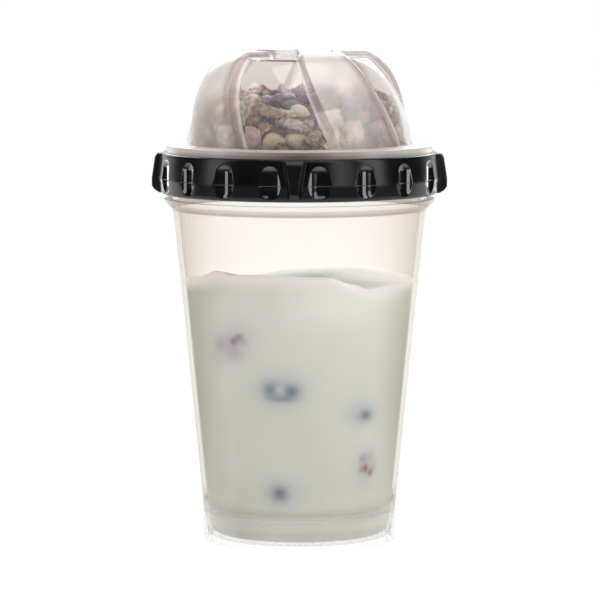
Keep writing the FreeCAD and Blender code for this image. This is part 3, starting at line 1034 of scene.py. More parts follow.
@dataclass
class Cup:
    """Tapered translucent cup with its collar, neck and ribbed foot skirt."""

    wall_foot_radius: float = 32.15
    wall_top_radius: float = 43.7
    wall: float = 1.9
    floor_foot: float = 1.4
    floor_top: float = 2.6
    corner: float = 5.0
    collar_height: float = 3.9
    collar_lip: float = 0.7
    collar_top: float = 118.9
    neck_step: float = 0.2
    skirt_radius: float = 33.1
    skirt_swell: float = 0.7
    skirt_height: float = 9.6
    skirt_step: float = 1.1
    skirt: float = 1.2
    rib_count: int = 24
    rib: float = 0.9
    rib_depth: tuple[Pair, ...] = ((0.8, 0.0), (0.9, 1.1), (2.0, 1.1), (3.0, 0.9), (4.5, 0.5), (6.0, 0.0))
    notch_width: float = 4.4
    notch_height: float = 0.9
    notch_ramp: float = 0.5
    wall_rows: Pair = (20.0, 60.0)
    columns: int = 384
    neck_top: float = field(default_factory=lambda: top_of("cup"))
    collar_radius: float = field(default_factory=lambda: reach_of("cup"))

    @property
    def collar_foot(self) -> float:
        """Height at which the tapered wall ends."""
        return self.collar_top - self.collar_height

    @property
    def step_top(self) -> float:
        """Height at which the skirt meets the wall."""
        return self.skirt_height + self.skirt_step

    def radius(self, height: float) -> float:
        """Outer radius of the tapered wall."""
        return mix(self.wall_foot_radius, self.wall_top_radius, height / self.collar_foot)

    def inner(self, height: float) -> float:
        """Inner radius of the tapered wall."""
        return self.radius(height) - self.wall

    def outline(self) -> list[Pair]:
        """Closed half section of the wall, from under the floor up and back to its top.

        Returns:
            (radius, height) points.
        """
        foot, top, step = self.floor_foot, self.floor_top, self.step_top
        low, high = self.wall_rows
        collar_foot, collar_top, collar = self.collar_foot, self.collar_top, self.collar_radius
        neck = self.wall_top_radius + self.neck_step
        return rounded([
            (0, foot, 0), (self.radius(foot) - 0.3, foot, self.corner + top - foot),
            (self.radius(step), step, 0), (self.radius(low), low, 0), (self.radius(high), high, 0),
            (self.wall_top_radius, collar_foot, 0.8), (collar, collar_top - self.collar_lip, 0.3),
            (collar, collar_top, 0.25), (neck, collar_top, 0.3), (neck, self.neck_top, 0.4),
            (neck - self.wall, self.neck_top, 0.4), (self.inner(collar_foot), collar_foot, 0.8),
            (self.inner(high), high, 0), (self.inner(low), low, 0), (self.inner(step), step, 0),
            (self.inner(top), top, self.corner), (0, top, 0),
        ], 6)

    def skirt_rows(self) -> list[list[Point]]:
        """Rows of the foot skirt, with a rib inside between every two notches of its lower edge.

        Returns:
            The rows, from the inner face down, round the edge and up the outer one.
        """
        top = self.skirt_radius + self.skirt_swell
        inner = self.skirt_radius - self.skirt
        step_top = self.step_top
        outline = rounded([
            (inner, 3.0, 0), (inner, 2.0, 0), (inner, 0.9, 0), (inner, 0.8, 0), (inner, 0, 0.25),
            (self.skirt_radius, 0, 0.35), (top, self.skirt_height, 0.5),
            (self.radius(step_top), step_top, 0), (self.radius(step_top) - 0.6, step_top, 0),
            (top - self.skirt, self.skirt_height - self.skirt, 0.3),
            (inner, 6.0, 0), (inner, 4.5, 0), (inner, 3.1, 0),
        ], 4)
        pitch = FULL_TURN / self.rib_count
        half, ramp = math.degrees(self.notch_width / 2 / self.skirt_radius), self.notch_ramp
        rows = []
        for radius, height in outline:
            row = []
            for k in range(self.columns):
                azimuth = k * FULL_TURN / self.columns
                off = abs(azimuth % pitch - pitch / 2)
                lift = self.notch_height * (1 - soft_step(half - ramp, half + ramp, off))
                from_rib = math.radians(pitch / 2 - off) * inner
                depth = through(self.rib_depth, height) * max(1 - from_rib / self.rib, 0.0)
                inwards = depth if radius < inner + 0.01 else 0.0
                row.append(around(radius - inwards, azimuth, max(height, lift)))
            rows.append(row)
        return rows

    def make(self) -> None:
        """Builds the cup with its skirt and ribs, in place of the CAD cup."""
        tint, edge_tint = (1.0, 0.988, 0.976), (0.825, 0.787, 0.73)
        finishes = (
            # the outer plastic's first extra tint is painted shade on the yogurt's sides, its second a
            # painted dim stripe under the collar
            MilkyPlastic("milky cup plastic", (0.97, 0.97, 0.96), tint, edge_tint, 0.04, 0.97, 6.0,
                         side_shade_tint=(0.64, 0.645, 0.60), collar_shade_tint=(0.55, 0.51, 0.50)),
            MilkyPlastic("cup plastic inside", (0.95, 0.94, 0.92), tint, edge_tint, 0.02, 0.25, 4.0),
            MilkyPlastic("white skirt plastic", (0.98, 0.98, 0.975), (1.0, 0.997, 0.993),
                         (0.985, 0.98, 0.975), 0.03, 0.45, 4.0),
        )
        outline = self.outline()
        turn_back = max(i for i, (_, height) in enumerate(outline) if height > self.neck_top - 0.01)
        skirt = len(finishes) - 1

        def finish(row: int, column: int) -> int:
            """Outside, inside, or the skirt's plastic behind the skirt."""
            behind = min(outline[row][1], outline[row + 1][1]) < self.step_top - 0.1
            return skirt if behind else int(row >= turn_back)

        shape = Shape()
        turn = FULL_TURN / self.columns
        shape.sheet([[around(r, k * turn, h) for k in range(self.columns)] for r, h in outline], mark=finish)
        shape.sheet(self.skirt_rows(), loop=True, mark=lambda row, column: skirt)
        body = shape.build("cup_body", *(plastic.material() for plastic in finishes))
        hand_over(body, "cup_plastic", "cup")


# ---- yogurt and berries


@dataclass(frozen=True)
class Swell:
    """Rounded mound, or with a negative height a hollow, on a level surface."""

    azimuth: float
    reach: float
    width: float
    height: float

    def at(self, x: float, y: float, whole: float) -> float:
        """Height that it adds at a point.

        Args:
            x: place of the point.
            y: place of the point.
            whole: radius of the whole surface.

        Returns:
            The height in millimetres.
        """
        cx, cy, _ = around(self.reach * whole, self.azimuth, 0)
        return self.height * math.exp(-((x - cx) ** 2 + (y - cy) ** 2) / (self.width * whole) ** 2)


@dataclass
class YogurtFill:
    """Yogurt up to its spooned level, with berries beside the wall."""

    cup: Cup
    level: float = 93.0
    middle: float = 91.6
    into_wall: float = 0.12
    corner_rows: int = 8
    side_rows: int = 60
    columns: int = 288
    rings: int = 36
    rim_line: tuple[Pair, ...] = (
        (-180, 91.2), (-150, 88.9), (-110, 89.4), (-87, 91.6), (-62, 92.9), (-44, 95.8), (-36, 95.0),
        (-25, 95.3), (-5, 95.1), (15, 94.7), (26, 92.3), (37, 90.1), (54, 90.9), (66, 90.9), (80, 90.0),
        (110, 91.2), (150, 92.3), (180, 91.2),
    )
    swells: tuple[Swell, ...] = (
        Swell(20, 0.62, 0.2, 1.6), Swell(-60, 0.5, 0.3, -1.6), Swell(120, 0.4, 0.3, 0.8),
    )
    rim_waver: float = 0.35
    top_waver: float = 0.5
    side_foot: float = 14.0

    def rim_height(self, azimuth: float) -> float:
        """Height of the yogurt's edge on the wall."""
        x, y, _ = around(9, azimuth, 0)
        waver = self.rim_waver * noise.noise(Vector((x, y, 5.0)) * 0.55)
        return through(self.rim_line, azimuth, eased=True) + waver

    def height(self, share: float, azimuth: float, rim: float) -> float:
        """Height of the top surface.

        Args:
            share: distance from the axis, as a share of the whole radius.
            azimuth: in degrees.
            rim: height of the edge at that azimuth.

        Returns:
            The height in millimetres.
        """
        whole = self.cup.inner(self.level)
        x, y, _ = around(share * whole, azimuth, 0)
        height = mix(self.middle, rim, share ** 1.6)
        height += sum(swell.at(x, y, whole) for swell in self.swells) * (1 - share ** 6)
        return height + self.top_waver * noise.noise(Vector((x, y, 3.0)) * 0.16) * (1 - share ** 8)

    def make(self) -> None:
        """Builds the yogurt as one closed piece that reaches just into the wall."""
        cup, out = self.cup, self.into_wall
        azimuths = [FULL_TURN * k / self.columns - FULL_TURN / 2 for k in range(self.columns)]
        floor = cup.floor_top - out
        low = rounded([
            (0, floor, 0), (cup.inner(floor) + out, floor, cup.corner),
            (cup.inner(self.side_foot) + out, self.side_foot, 0),
        ], self.corner_rows)
        rows = [[around(r, a, h) for a in azimuths] for r, h in low]
        rims = [self.rim_height(a) for a in azimuths]
        for i in range(1, self.side_rows + 1):
            heights = [mix(low[-1][1], rim, (i / self.side_rows) ** 0.9) for rim in rims]
            rows.append([around(cup.inner(h) + out, a, h) for a, h in zip(azimuths, heights)])
        side_points = len(rows) * self.columns
        for ring in range(1, self.rings + 1):
            share = 1 - (ring / self.rings) ** 1.3
            rows.append([
                around((cup.inner(rim) + out) * share, a, self.height(share, a, rim))
                for a, rim in zip(azimuths, rims)
            ])
        shape = Shape()
        shape.sheet(rows)
        unrolled = []
        for number, (x, y, z) in enumerate(shape.points):
            below = rims[number % self.columns] - z if number < side_points else -1.0
            unrolled.append((math.degrees(math.atan2(x, -y)), z, below))
        piece = shape.build("yogurt_fill", Yogurt().material(), crease=60, spots=unrolled)
        hand_over(piece, "yogurt", "yogurt")


@dataclass
class Berries:
    """Berries sunk in the yogurt, a film's thickness behind its face on the wall."""

    cup: Cup
    film: float = 0.25
    round_places: tuple[Point, ...] = (
        (-10.8, 55.9, 6.8), (40.2, 46.4, 4.8), (-11.6, 19.8, 5.0),
    )
    cluster_places: tuple[Point, ...] = ((-36.5, 71.2, 6.2), (44.0, 28.4, 6.0))
    beads: int = 44
    bead: float = 0.27
    columns: int = 30
    crown_points: int = 5
    crown: tuple[Pair, ...] = (
        (0.0, 0.78), (0.2, 0.76), (0.3, 0.84), (0.36, 1.0), (0.44, 1.01), (0.5, 0.86), (0.72, 0.68),
        (0.9, 0.4), (1.0, 0.0), (0.93, -0.35), (0.76, -0.64), (0.5, -0.84), (0.25, -0.95), (0.0, -0.98),
    )

    def centre(self, azimuth: float, height: float, radius: float) -> Vector:
        """Centre of a berry that lies just behind the yogurt's face."""
        return Vector(around(self.cup.inner(height) - self.film - radius, azimuth, height))

    def round_berry(self, shape: Shape, berry: Point) -> None:
        """Adds a round dark berry, its crown turned partly to the wall.

        Args:
            shape: what it is added to.
            berry: its azimuth, height and radius.
        """
        azimuth, _, radius = berry
        centre = self.centre(*berry)
        lean = Vector(around(1.0, azimuth, 0.9)).to_track_quat("Z", "X")
        rows = []
        for r, h in self.crown:
            row = []
            for k in range(self.columns):
                angle = 2 * math.pi * k / self.columns
                star = 1 - 0.16 * (1 + math.cos(self.crown_points * angle)) * (1 if h > 0.95 else 0)
                local = Vector((r * star * math.cos(angle), r * star * math.sin(angle), h * 0.94)) * radius
                row.append(tuple(centre + 0.97 * (lean @ local)))
            rows.append(row)
        shape.sheet(rows[::-1])

    def beaded_berry(self, shape: Shape, berry: Point) -> None:
        """Adds a red berry of many small beads.

        Args:
            shape: what it is added to.
            berry: its azimuth, height and radius.
        """
        radius = berry[2]
        centre = self.centre(*berry)
        golden = math.pi * (3 - math.sqrt(5))
        bead = self.bead * radius
        for number in range(self.beads):
            up = 1 - 2 * (number + 0.5) / self.beads
            angle = golden * number
            out = math.sqrt(1 - up * up)
            unit = Vector((out * math.cos(angle), out * math.sin(angle), up))
            ball = lump((bead, bead, bead), 10, 6, 0.05, 1.0, number)
            shape.take(ball, centre=centre + unit * (radius - bead))
        shape.take(lump((radius * 0.8,) * 3, 16, 10, 0.02, 1.0, 1.0), centre=centre)

    def make(self) -> None:
        """Builds the round berries as one piece and the beaded ones as another."""
        dark, red = Shape(), Shape()
        for berry in self.round_places:
            self.round_berry(dark, berry)
        for berry in self.cluster_places:
            self.beaded_berry(red, berry)
        skin = BerrySkin("bloomed dark berry skin", (0.035, 0.04, 0.10), (0.16, 0.19, 0.28))
        wine = BerrySkin("red berry skin", (0.20, 0.012, 0.03), (0.36, 0.05, 0.08), roughness=0.3)
        hand_over(dark.build("dark_berries", skin.material()), "berry")
        hand_over(red.build("red_berries", wine.material()), "berry")


# ---- cap


@dataclass
class Cap:
    """Black screw cap with polished finger scoops, four grip lugs and a fine parting line."""

    inner: float = 45.2
    belly: float = 48.5
    belly_height: float = 125.83
    top_radius: float = 47.0
    edge_radius: float = 48.0
    edge: float = 1.3
    shoulder: float = 1.0
    plate: float = 2.5
    plug: Pair = (41.5, 40.3)
    plug_depth: float = 4.0
    seat: Pair = (44.5, 40.5)
    seat_height: float = 1.1
    turn: float = -2.0
    scoop_pitch: float = 20.0
    scoop_middle: float = 127.15
    scoop_axis: float = 54.753
    scoop_radius: float = 7.503
    scoop_flat: float = 3.2
    scoop_end: float = 5.0
    lug_reach: float = 51.05
    lug_slope: float = 4.05
    lug_foot: float = 120.8
    lug_top: float = 134.4
    lug_face: Pair = (2.1, 4.8)
    lug_root: Pair = (5.2, 8.4)
    rounding: float = 0.13
    parting: float = 0.05
    parting_half: float = 0.09
    busy_scoop: float = 5.4
    busy_lug: float = 6.6
    fine: float = 0.25
    coarse: float = 1.25
    rise: float = 0.3
    foot: float = field(default_factory=lambda: foot_of("cap"))
    top: float = field(default_factory=lambda: foot_of("dome"))

    def groove(self, height: float) -> float:
        """Depth of the parting line at a height."""
        return self.parting * math.exp(-((height - self.belly_height) / self.parting_half) ** 2)

    @staticmethod
    def from_lug(azimuth: float) -> float:
        """Angle from the nearest lug's middle."""
        return (azimuth + QUARTER / 2) % QUARTER - QUARTER / 2

    def plain(self, height: float) -> float:
        """Outer radius beside the scoops and lugs.

        Args:
            height: in millimetres.

        Returns:
            The radius.
        """
        foot, top, edge, shoulder = self.foot, self.top, self.edge, self.shoulder
        radius = through([
            (foot, self.edge_radius - edge), (foot + 0.12 * edge, self.edge_radius - 0.6 * edge),
            (foot + 0.3 * edge, self.edge_radius - 0.3 * edge), (foot + edge, self.edge_radius),
            (self.belly_height, self.belly), (top - shoulder, self.top_radius + 0.7 * shoulder),
            (top - 0.3 * shoulder, self.top_radius + 0.5 * shoulder), (top, self.top_radius),
        ], height)
        return radius - self.groove(height)

    def scooped(self, azimuth: float, height: float) -> float:
        """Radius of the nearest scoop's floor.

        Args:
            azimuth: in degrees.
            height: in millimetres.

        Returns:
            The radius, or one past the whole cap outside the scoop.
        """
        far = 2 * self.belly
        middle = (math.floor(azimuth / self.scoop_pitch) + 0.5) * self.scoop_pitch
        off = math.radians(azimuth - middle)
        beyond = max(abs(height - self.scoop_middle) - self.scoop_flat, 0.0)
        if (middle % QUARTER) < self.scoop_pitch / 2 or beyond > self.scoop_end:
            return far
        half = self.scoop_radius - self.scoop_end + math.sqrt(self.scoop_end ** 2 - beyond ** 2)
        inside = half * abs(half) - (self.scoop_axis * math.sin(off)) ** 2
        if inside <= 0:
            return far
        return self.scoop_axis * math.cos(off) - math.sqrt(inside) - self.groove(height)

    def lugged(self, azimuth: float, height: float) -> float:
        """Radius of the nearest lug's face or flank.

        Args:
            azimuth: in degrees.
            height: in millimetres.

        Returns:
            The radius, or nothing above and below the lug.
        """
        if not self.lug_foot <= height <= self.lug_top:
            return 0.0
        reach, proud = self.lug_reach, self.lug_reach - self.belly
        outline = through([
            (self.lug_foot, self.belly), (self.lug_foot + 0.4 * proud, reach - 0.35 * proud),
            (self.lug_foot + 0.9 * proud, reach), (self.belly_height, reach),
            (self.lug_top - 0.45 * proud, reach - 0.45 * proud), (self.lug_top, reach - 0.75 * proud),
        ], height)
        share = (height - self.lug_foot) / (self.lug_top - self.lug_foot)
        face, root = mix(*self.lug_face, share), mix(*self.lug_root, share)
        spread = (root - face) / 2 / self.lug_slope
        off = math.radians(self.from_lug(azimuth))
        flank = (face / 2 + spread * reach) / (abs(math.sin(off)) + spread * math.cos(off))
        return soft_min(outline, flank, 2 * self.rounding)

    def radius(self, azimuth: float, height: float) -> float:
        """Outer radius of the cap at an azimuth and a height."""
        cut = soft_min(self.plain(height), self.scooped(azimuth, height), self.rounding)
        return soft_max(cut, self.lugged(azimuth, height), 1.5 * self.rounding)

    def azimuths(self) -> list[float]:
        """Columns of the mesh, close together at the scoops and lugs.

        Returns:
            Azimuths in degrees.
        """
        places: list[float] = []
        azimuth = 0.0
        while azimuth < FULL_TURN - self.fine / 2:
            places.append(azimuth)
            off_scoop = abs(azimuth % self.scoop_pitch - self.scoop_pitch / 2)
            busy = off_scoop < self.busy_scoop or abs(self.from_lug(azimuth)) < self.busy_lug
            azimuth += self.fine if busy else self.coarse
        return places

    def heights(self) -> list[float]:
        """Rows of the outer face, with close ones at the lug's ends and the parting line.

        Returns:
            Heights in millimetres.
        """
        count = round((self.top - self.foot) / self.rise)
        rows = {round(mix(self.foot, self.top, i / count), 3) for i in range(count + 1)}
        rows |= {self.foot + 0.1, self.foot + 0.22, self.top - 0.08, self.top - 0.18}
        rows |= {self.lug_foot - 0.01, self.lug_foot, self.lug_top, self.lug_top + 0.01}
        rows |= {self.belly_height + step for step in (-0.22, -0.12, 0.0, 0.12, 0.22)}
        return sorted(rows)

    def make(self) -> None:
        """Builds the cap's outer face on a fine grid and closes it over its inner faces."""
        azimuths = self.azimuths()
        plate = self.top - self.plate
        seat_top = self.top + self.seat_height
        plug_foot = plate - self.plug_depth
        below = [
            (0.0, plate), (self.plug[1], plate), (self.plug[1], plug_foot), (self.plug[0], plug_foot),
            (self.plug[0], plate), (self.inner, plate), (self.inner, self.foot),
        ]
        above = [
            (self.seat[0], self.top), (self.seat[0], seat_top), (self.seat[1], seat_top),
            (self.seat[1], self.top), (0.0, self.top),
        ]
        heights = self.heights()
        face = [[(self.radius(a, h), h) for a in azimuths] for h in heights]
        under, over = ([[spot] * len(azimuths) for spot in half] for half in (below, above))
        sections = under + face + over
        rows = [[around(r, a + self.turn, h) for a, (r, h) in zip(azimuths, row)] for row in sections]

        def polished(row: int, column: int) -> int:
            """Polished inside a scoop, satin beside it.

            Args:
                row: row of the mesh.
                column: column of the mesh.

            Returns:
                1 for polished, 0 for satin.
            """
            level = row - len(below)
            if not 0 <= level < len(heights):
                return 0
            height = heights[level]
            return int(self.scooped(azimuths[column], height) < self.plain(height) - 0.03)

        shape = Shape()
        shape.sheet(rows, mark=polished)
        satin = BlackPlastic("satin black cap plastic", roughness=0.22, grain=0.3)
        glossy = BlackPlastic("polished black cap plastic", roughness=0.07, grain=0.03, gloss=2.1)
        piece = shape.build("screw_cap", satin.material(), glossy.material(), crease=50)
        hand_over(piece, "cap_plastic", "cap")


# ---- dome


class DomeFinish(Enum):
    """Finishes of the dome, numbered as the tree of copies takes them."""

    CLEAR = 0
    FROSTED = 1
    FLANK = 2
    FLANGE = 3


@dataclass
class Dome:
    """Swirled dome: four raised panels over sunk channels, on a flange that sits on the cap."""

    wall: float = 1.2
    flange_height: float = 2.6
    flange_width: float = 6.65
    flange_edge: float = 0.5
    bend: float = 19.85
    cut: float = 0.45
    panels: int = 4
    panel_angle: float = 42.0
    ramp_angle: float = 7.0
    shade_band_angle: float = 9.5
    swirl_angle: float = 18.7
    step_foot: float = 0.3
    step_top: float = 3.4
    pad_step: float = 2.3
    hub: float = 12.0
    columns: int = 132
    side_rows: int = 44
    foot: float = field(default_factory=lambda: foot_of("dome"))
    top: float = field(default_factory=lambda: top_of("dome"))
    rim: float = field(default_factory=lambda: reach_of("dome"))

    @property
    def flange_top(self) -> float:
        """Height of the flange's top."""
        return self.foot + self.flange_height

    @property
    def crown(self) -> float:
        """Radius of the crown where it meets the flange."""
        return self.rim - self.flange_width

    @property
    def sunk_top(self) -> float:
        """Height of the flat top between the pads."""
        return self.top - self.pad_step

    def panel_radius(self, height: float, inset: float = 0.0) -> float:
        """Radius of the raised panels on a surface this far inside the outer one."""
        share = min((height - self.foot) / (self.top - self.foot + self.cut - inset), 1.0)
        return self.crown - self.bend + (self.bend - inset) * math.sqrt(1 - share ** 2)

    def channel_radius(self, height: float, inset: float = 0.0) -> float:
        """Radius of the sunk channels."""
        share = (height - self.flange_top) / (self.sunk_top - self.flange_top)
        return self.panel_radius(height, inset) - mix(self.step_foot, self.step_top, share)

    def rows_along(self, radius: Callable[[float], float], top: float) -> list[Pair]:
        """Half section from the rim over the flange, up the side and in to the centre.

        Args:
            radius: gives the side's radius at a height.
            top: height of the flat top.

        Returns:
            (radius, height) points.
        """
        corners = [
            (self.rim, self.foot, 0), (self.rim, self.flange_top, self.flange_edge),
            (self.crown + 2.5, self.flange_top, 0),
        ]
        whole = self.top - self.foot + self.cut
        first = math.asin((self.flange_top - self.foot) / whole)
        last = math.asin((top - self.foot) / whole)
        for i in range(self.side_rows + 1):
            height = self.foot + whole * math.sin(mix(first, last, i / self.side_rows))
            rounding = 0.7 if i in (0, self.side_rows) else 0.0
            corners.append((radius(height), height, rounding))
        edge = radius(top)
        outer_hub = self.hub + self.pad_step
        corners += [(mix(edge, outer_hub, share), top, 0) for share in (0.25, 0.5, 0.75)]
        corners += [(outer_hub, top, 0.5), (self.hub, self.sunk_top, 0.5)]
        corners += [(self.hub * share, self.sunk_top, 0) for share in (0.6, 0.3, 0.0)]
        return rounded(corners, 4)

    def raised(self, azimuth: float) -> float:
        """Share of the way from channel to panel at an azimuth of the sector."""
        half, end = self.ramp_angle / 2, self.panel_angle
        return soft_step(-half, half, azimuth) - soft_step(end - half, end + half, azimuth)

    def shaded(self, azimuth: float) -> float:
        """Share of the painted shade that runs along the far side of each panel."""
        end = self.panel_angle
        near = soft_step(end - self.shade_band_angle, end - self.ramp_angle / 2, azimuth)
        return near * (1 - soft_step(end - 0.5, end + 2.0, azimuth))

    def finish_at(self, spot: Vector, azimuth: float) -> DomeFinish:
        """Finish of the dome's face at a place of the sector.

        Args:
            spot: the place, in millimetres.
            azimuth: its azimuth.

        Returns:
            The finish.
        """
        if spot.z < self.flange_top + 0.25:
            return DomeFinish.FLANGE
        if spot.z > self.sunk_top - 0.3 and spot.xy.length < self.hub + 1:
            return DomeFinish.CLEAR
        share = self.raised(azimuth)
        if 0.01 < share < 0.98:
            return DomeFinish.FLANK
        return DomeFinish.FROSTED if share > 0.5 else DomeFinish.CLEAR

    def sector(self) -> Object:
        """One quarter of the dome's outer surface, with each face's finish kept on it.

        Returns:
            The object.
        """
        pitch = FULL_TURN / self.panels
        start = (self.panel_angle - pitch) / 2
        panel = self.rows_along(self.panel_radius, self.top)
        channel = self.rows_along(self.channel_radius, self.sunk_top)
        azimuths = [start + pitch * k / self.columns for k in range(self.columns + 1)]
        rows = []
        for (panel_r, panel_h), (channel_r, channel_h) in zip(panel, channel):
            row = []
            for azimuth in azimuths:
                share = self.raised(azimuth)
                row.append(around(mix(channel_r, panel_r, share), azimuth, mix(channel_h, panel_h, share)))
            rows.append(row)
        shape = Shape()
        shape.sheet(rows, around_axis=False)
        piece = shape.build("dome_shell", crease=40)

        def azimuth_of(spot: Vector) -> float:
            """Azimuth of a place, counted on from the sector's start."""
            return (math.degrees(math.atan2(spot.x, -spot.y)) - start) % FULL_TURN + start

        mesh = piece.data
        middles = [face.center / MM for face in mesh.polygons]
        places = [azimuth_of(vertex.co) for vertex in mesh.vertices]
        keep_values(mesh, "finish", [self.finish_at(m, azimuth_of(m)).value for m in middles], "INT", "FACE")
        keep_values(mesh, "raised", [self.raised(azimuth) for azimuth in places])
        keep_values(mesh, "shaded", [self.shaded(azimuth) for azimuth in places])
        return piece

    def make(self, copies: Tree) -> None:
        """Builds the whole dome with its wall's thickness, in place of the CAD dome.

        Args:
            copies: the tree that sets copies round the axis.
        """
        finishes = {
            DomeFinish.CLEAR: ClearPlastic("clear dome plastic", (0.97, 0.955, 0.945), 0.95, 0.04),
            # the band colours of the frosted panels and the flanks are painted shade along each panel's far
            # side
            DomeFinish.FROSTED: ClearPlastic("frosted dome plastic", (0.955, 0.92, 0.895), 0.8, 0.21,
                                             side=(0.74, 0.68, 0.65), side_power=3.0,
                                             painted_shade_band=(0.70, 0.63, 0.60)),
            # the flank's brown body is painted shade and its bright foot a painted highlight
            DomeFinish.FLANK: ClearPlastic("flank of the dome's panels", (0.70, 0.62, 0.585), 0.72, 0.1,
                                           foot=(1.0, 0.995, 0.985), painted_shade_band=(0.62, 0.54, 0.50)),
            DomeFinish.FLANGE: ClearPlastic("milky flange plastic", (0.20, 0.16, 0.14), 0.45, 0.22,
                                            side=(1.0, 0.95, 0.90), side_power=0.55),
        }
        piece = self.sector()
        grow(piece, copies, {
            "Count": self.panels, "Twist": math.radians(self.swirl_angle), "Twist Foot": self.flange_top * MM,
            "Twist Top": self.sunk_top * MM, "Weld": 0.00002,
            **{f"Finish {finish.value}": plastic.material() for finish, plastic in finishes.items()},
        })
        shell = piece.modifiers.new("wall", "SOLIDIFY")
        shell.thickness = self.wall * MM
        shell.offset = -1
        shell.use_even_offset = True
        settle(piece)
        tidy(piece.data, 40)
        hand_over(piece, "dome_plastic", "dome")


# ---- granola


class Kind(Enum):
    """Kinds of piece in the granola."""

    FLAKE = "oat_flakes"
    CLUSTER = "oat_clusters"
    NUT = "nut_pieces"
    FRUIT = "dried_fruit"
    CRISP = "crisps"
    PETAL = "fruit_slices"


def ball(columns: int, rings: int, spot: Callable[[Vector], Point]) -> Shape:
    """Closed form made from the directions of a ball.

    Args:
        columns: faces round it.
        rings: faces from pole to pole.
        spot: gives the point that lies in a direction.

    Returns:
        The shape.
    """
    rows = []
    for i in range(rings + 1):
        tilt = math.pi * i / rings - math.pi / 2
        turns = (2 * math.pi * k / columns for k in range(columns))
        rows.append([
            spot(Vector((math.cos(tilt) * math.sin(a), -math.cos(tilt) * math.cos(a), math.sin(tilt))))
            for a in turns
        ])
    shape = Shape()
    shape.sheet(rows)
    return shape


def lump(radii: Point, columns: int, rings: int, rough: float, pitch: float, seed: float) -> Shape:
    """Closed uneven ball.

    Args:
        radii: half sizes along X, Y and Z.
        columns: faces round it.
        rings: faces from pole to pole.
        rough: depth of its unevenness, as a share of its size.
        pitch: lumps across it.
        seed: place in the noise.

    Returns:
        The shape, centred on the origin.
    """
    def spot(unit: Vector) -> Point:
        """Point in a direction, on coarse and fine lumps."""
        swell = 1 + rough * noise.noise(unit * pitch + Vector((seed, 0, 0)))
        swell += 0.4 * rough * noise.noise(unit * pitch * 2.7 + Vector((0, seed, 0)))
        return tuple(c * r * swell for c, r in zip(unit, radii))

    return ball(columns, rings, spot)


def any_way(rng: random.Random) -> Vector:
    """Direction drawn evenly from all."""
    return Vector((rng.gauss(0, 1), rng.gauss(0, 1), rng.gauss(0, 1))).normalized()


@dataclass(frozen=True)
class Chosen:
    """One granola piece set behind the dome's wall.

    Its azimuth and roll are in degrees, its height and its inset from the wall in millimetres,
    and its half sizes run across, upwards and outwards.
    """

    kind: Kind
    azimuth: float
    height: float
    inset: float
    half: Point
    tone: float
    roll: float = 0.0
    bend: float = 0.0

    def form(self, granola: "Granola", rng: random.Random) -> Shape:
        """Its shape, brought to its own half sizes.

        Args:
            granola: makes the kinds of piece.
            rng: draws its details.

        Returns:
            The shape, centred on the origin.
        """
        if self.kind is Kind.CLUSTER:
            return granola.cluster(rng, self.half)
        shape = granola.nut(rng, self.bend) if self.kind is Kind.NUT else granola.variant(self.kind, rng)
        lows = [min(p[i] for p in shape.points) for i in range(3)]
        highs = [max(p[i] for p in shape.points) for i in range(3)]
        fitted = Shape()
        fitted.points = [
            tuple(((c - (low + high) / 2) / max(high - low, 0.01) * 2 * half)
                  for c, low, high, half in zip(point, lows, highs, self.half))
            for point in shape.points
        ]
        fitted.faces, fitted.marks = shape.faces, shape.marks
        return fitted


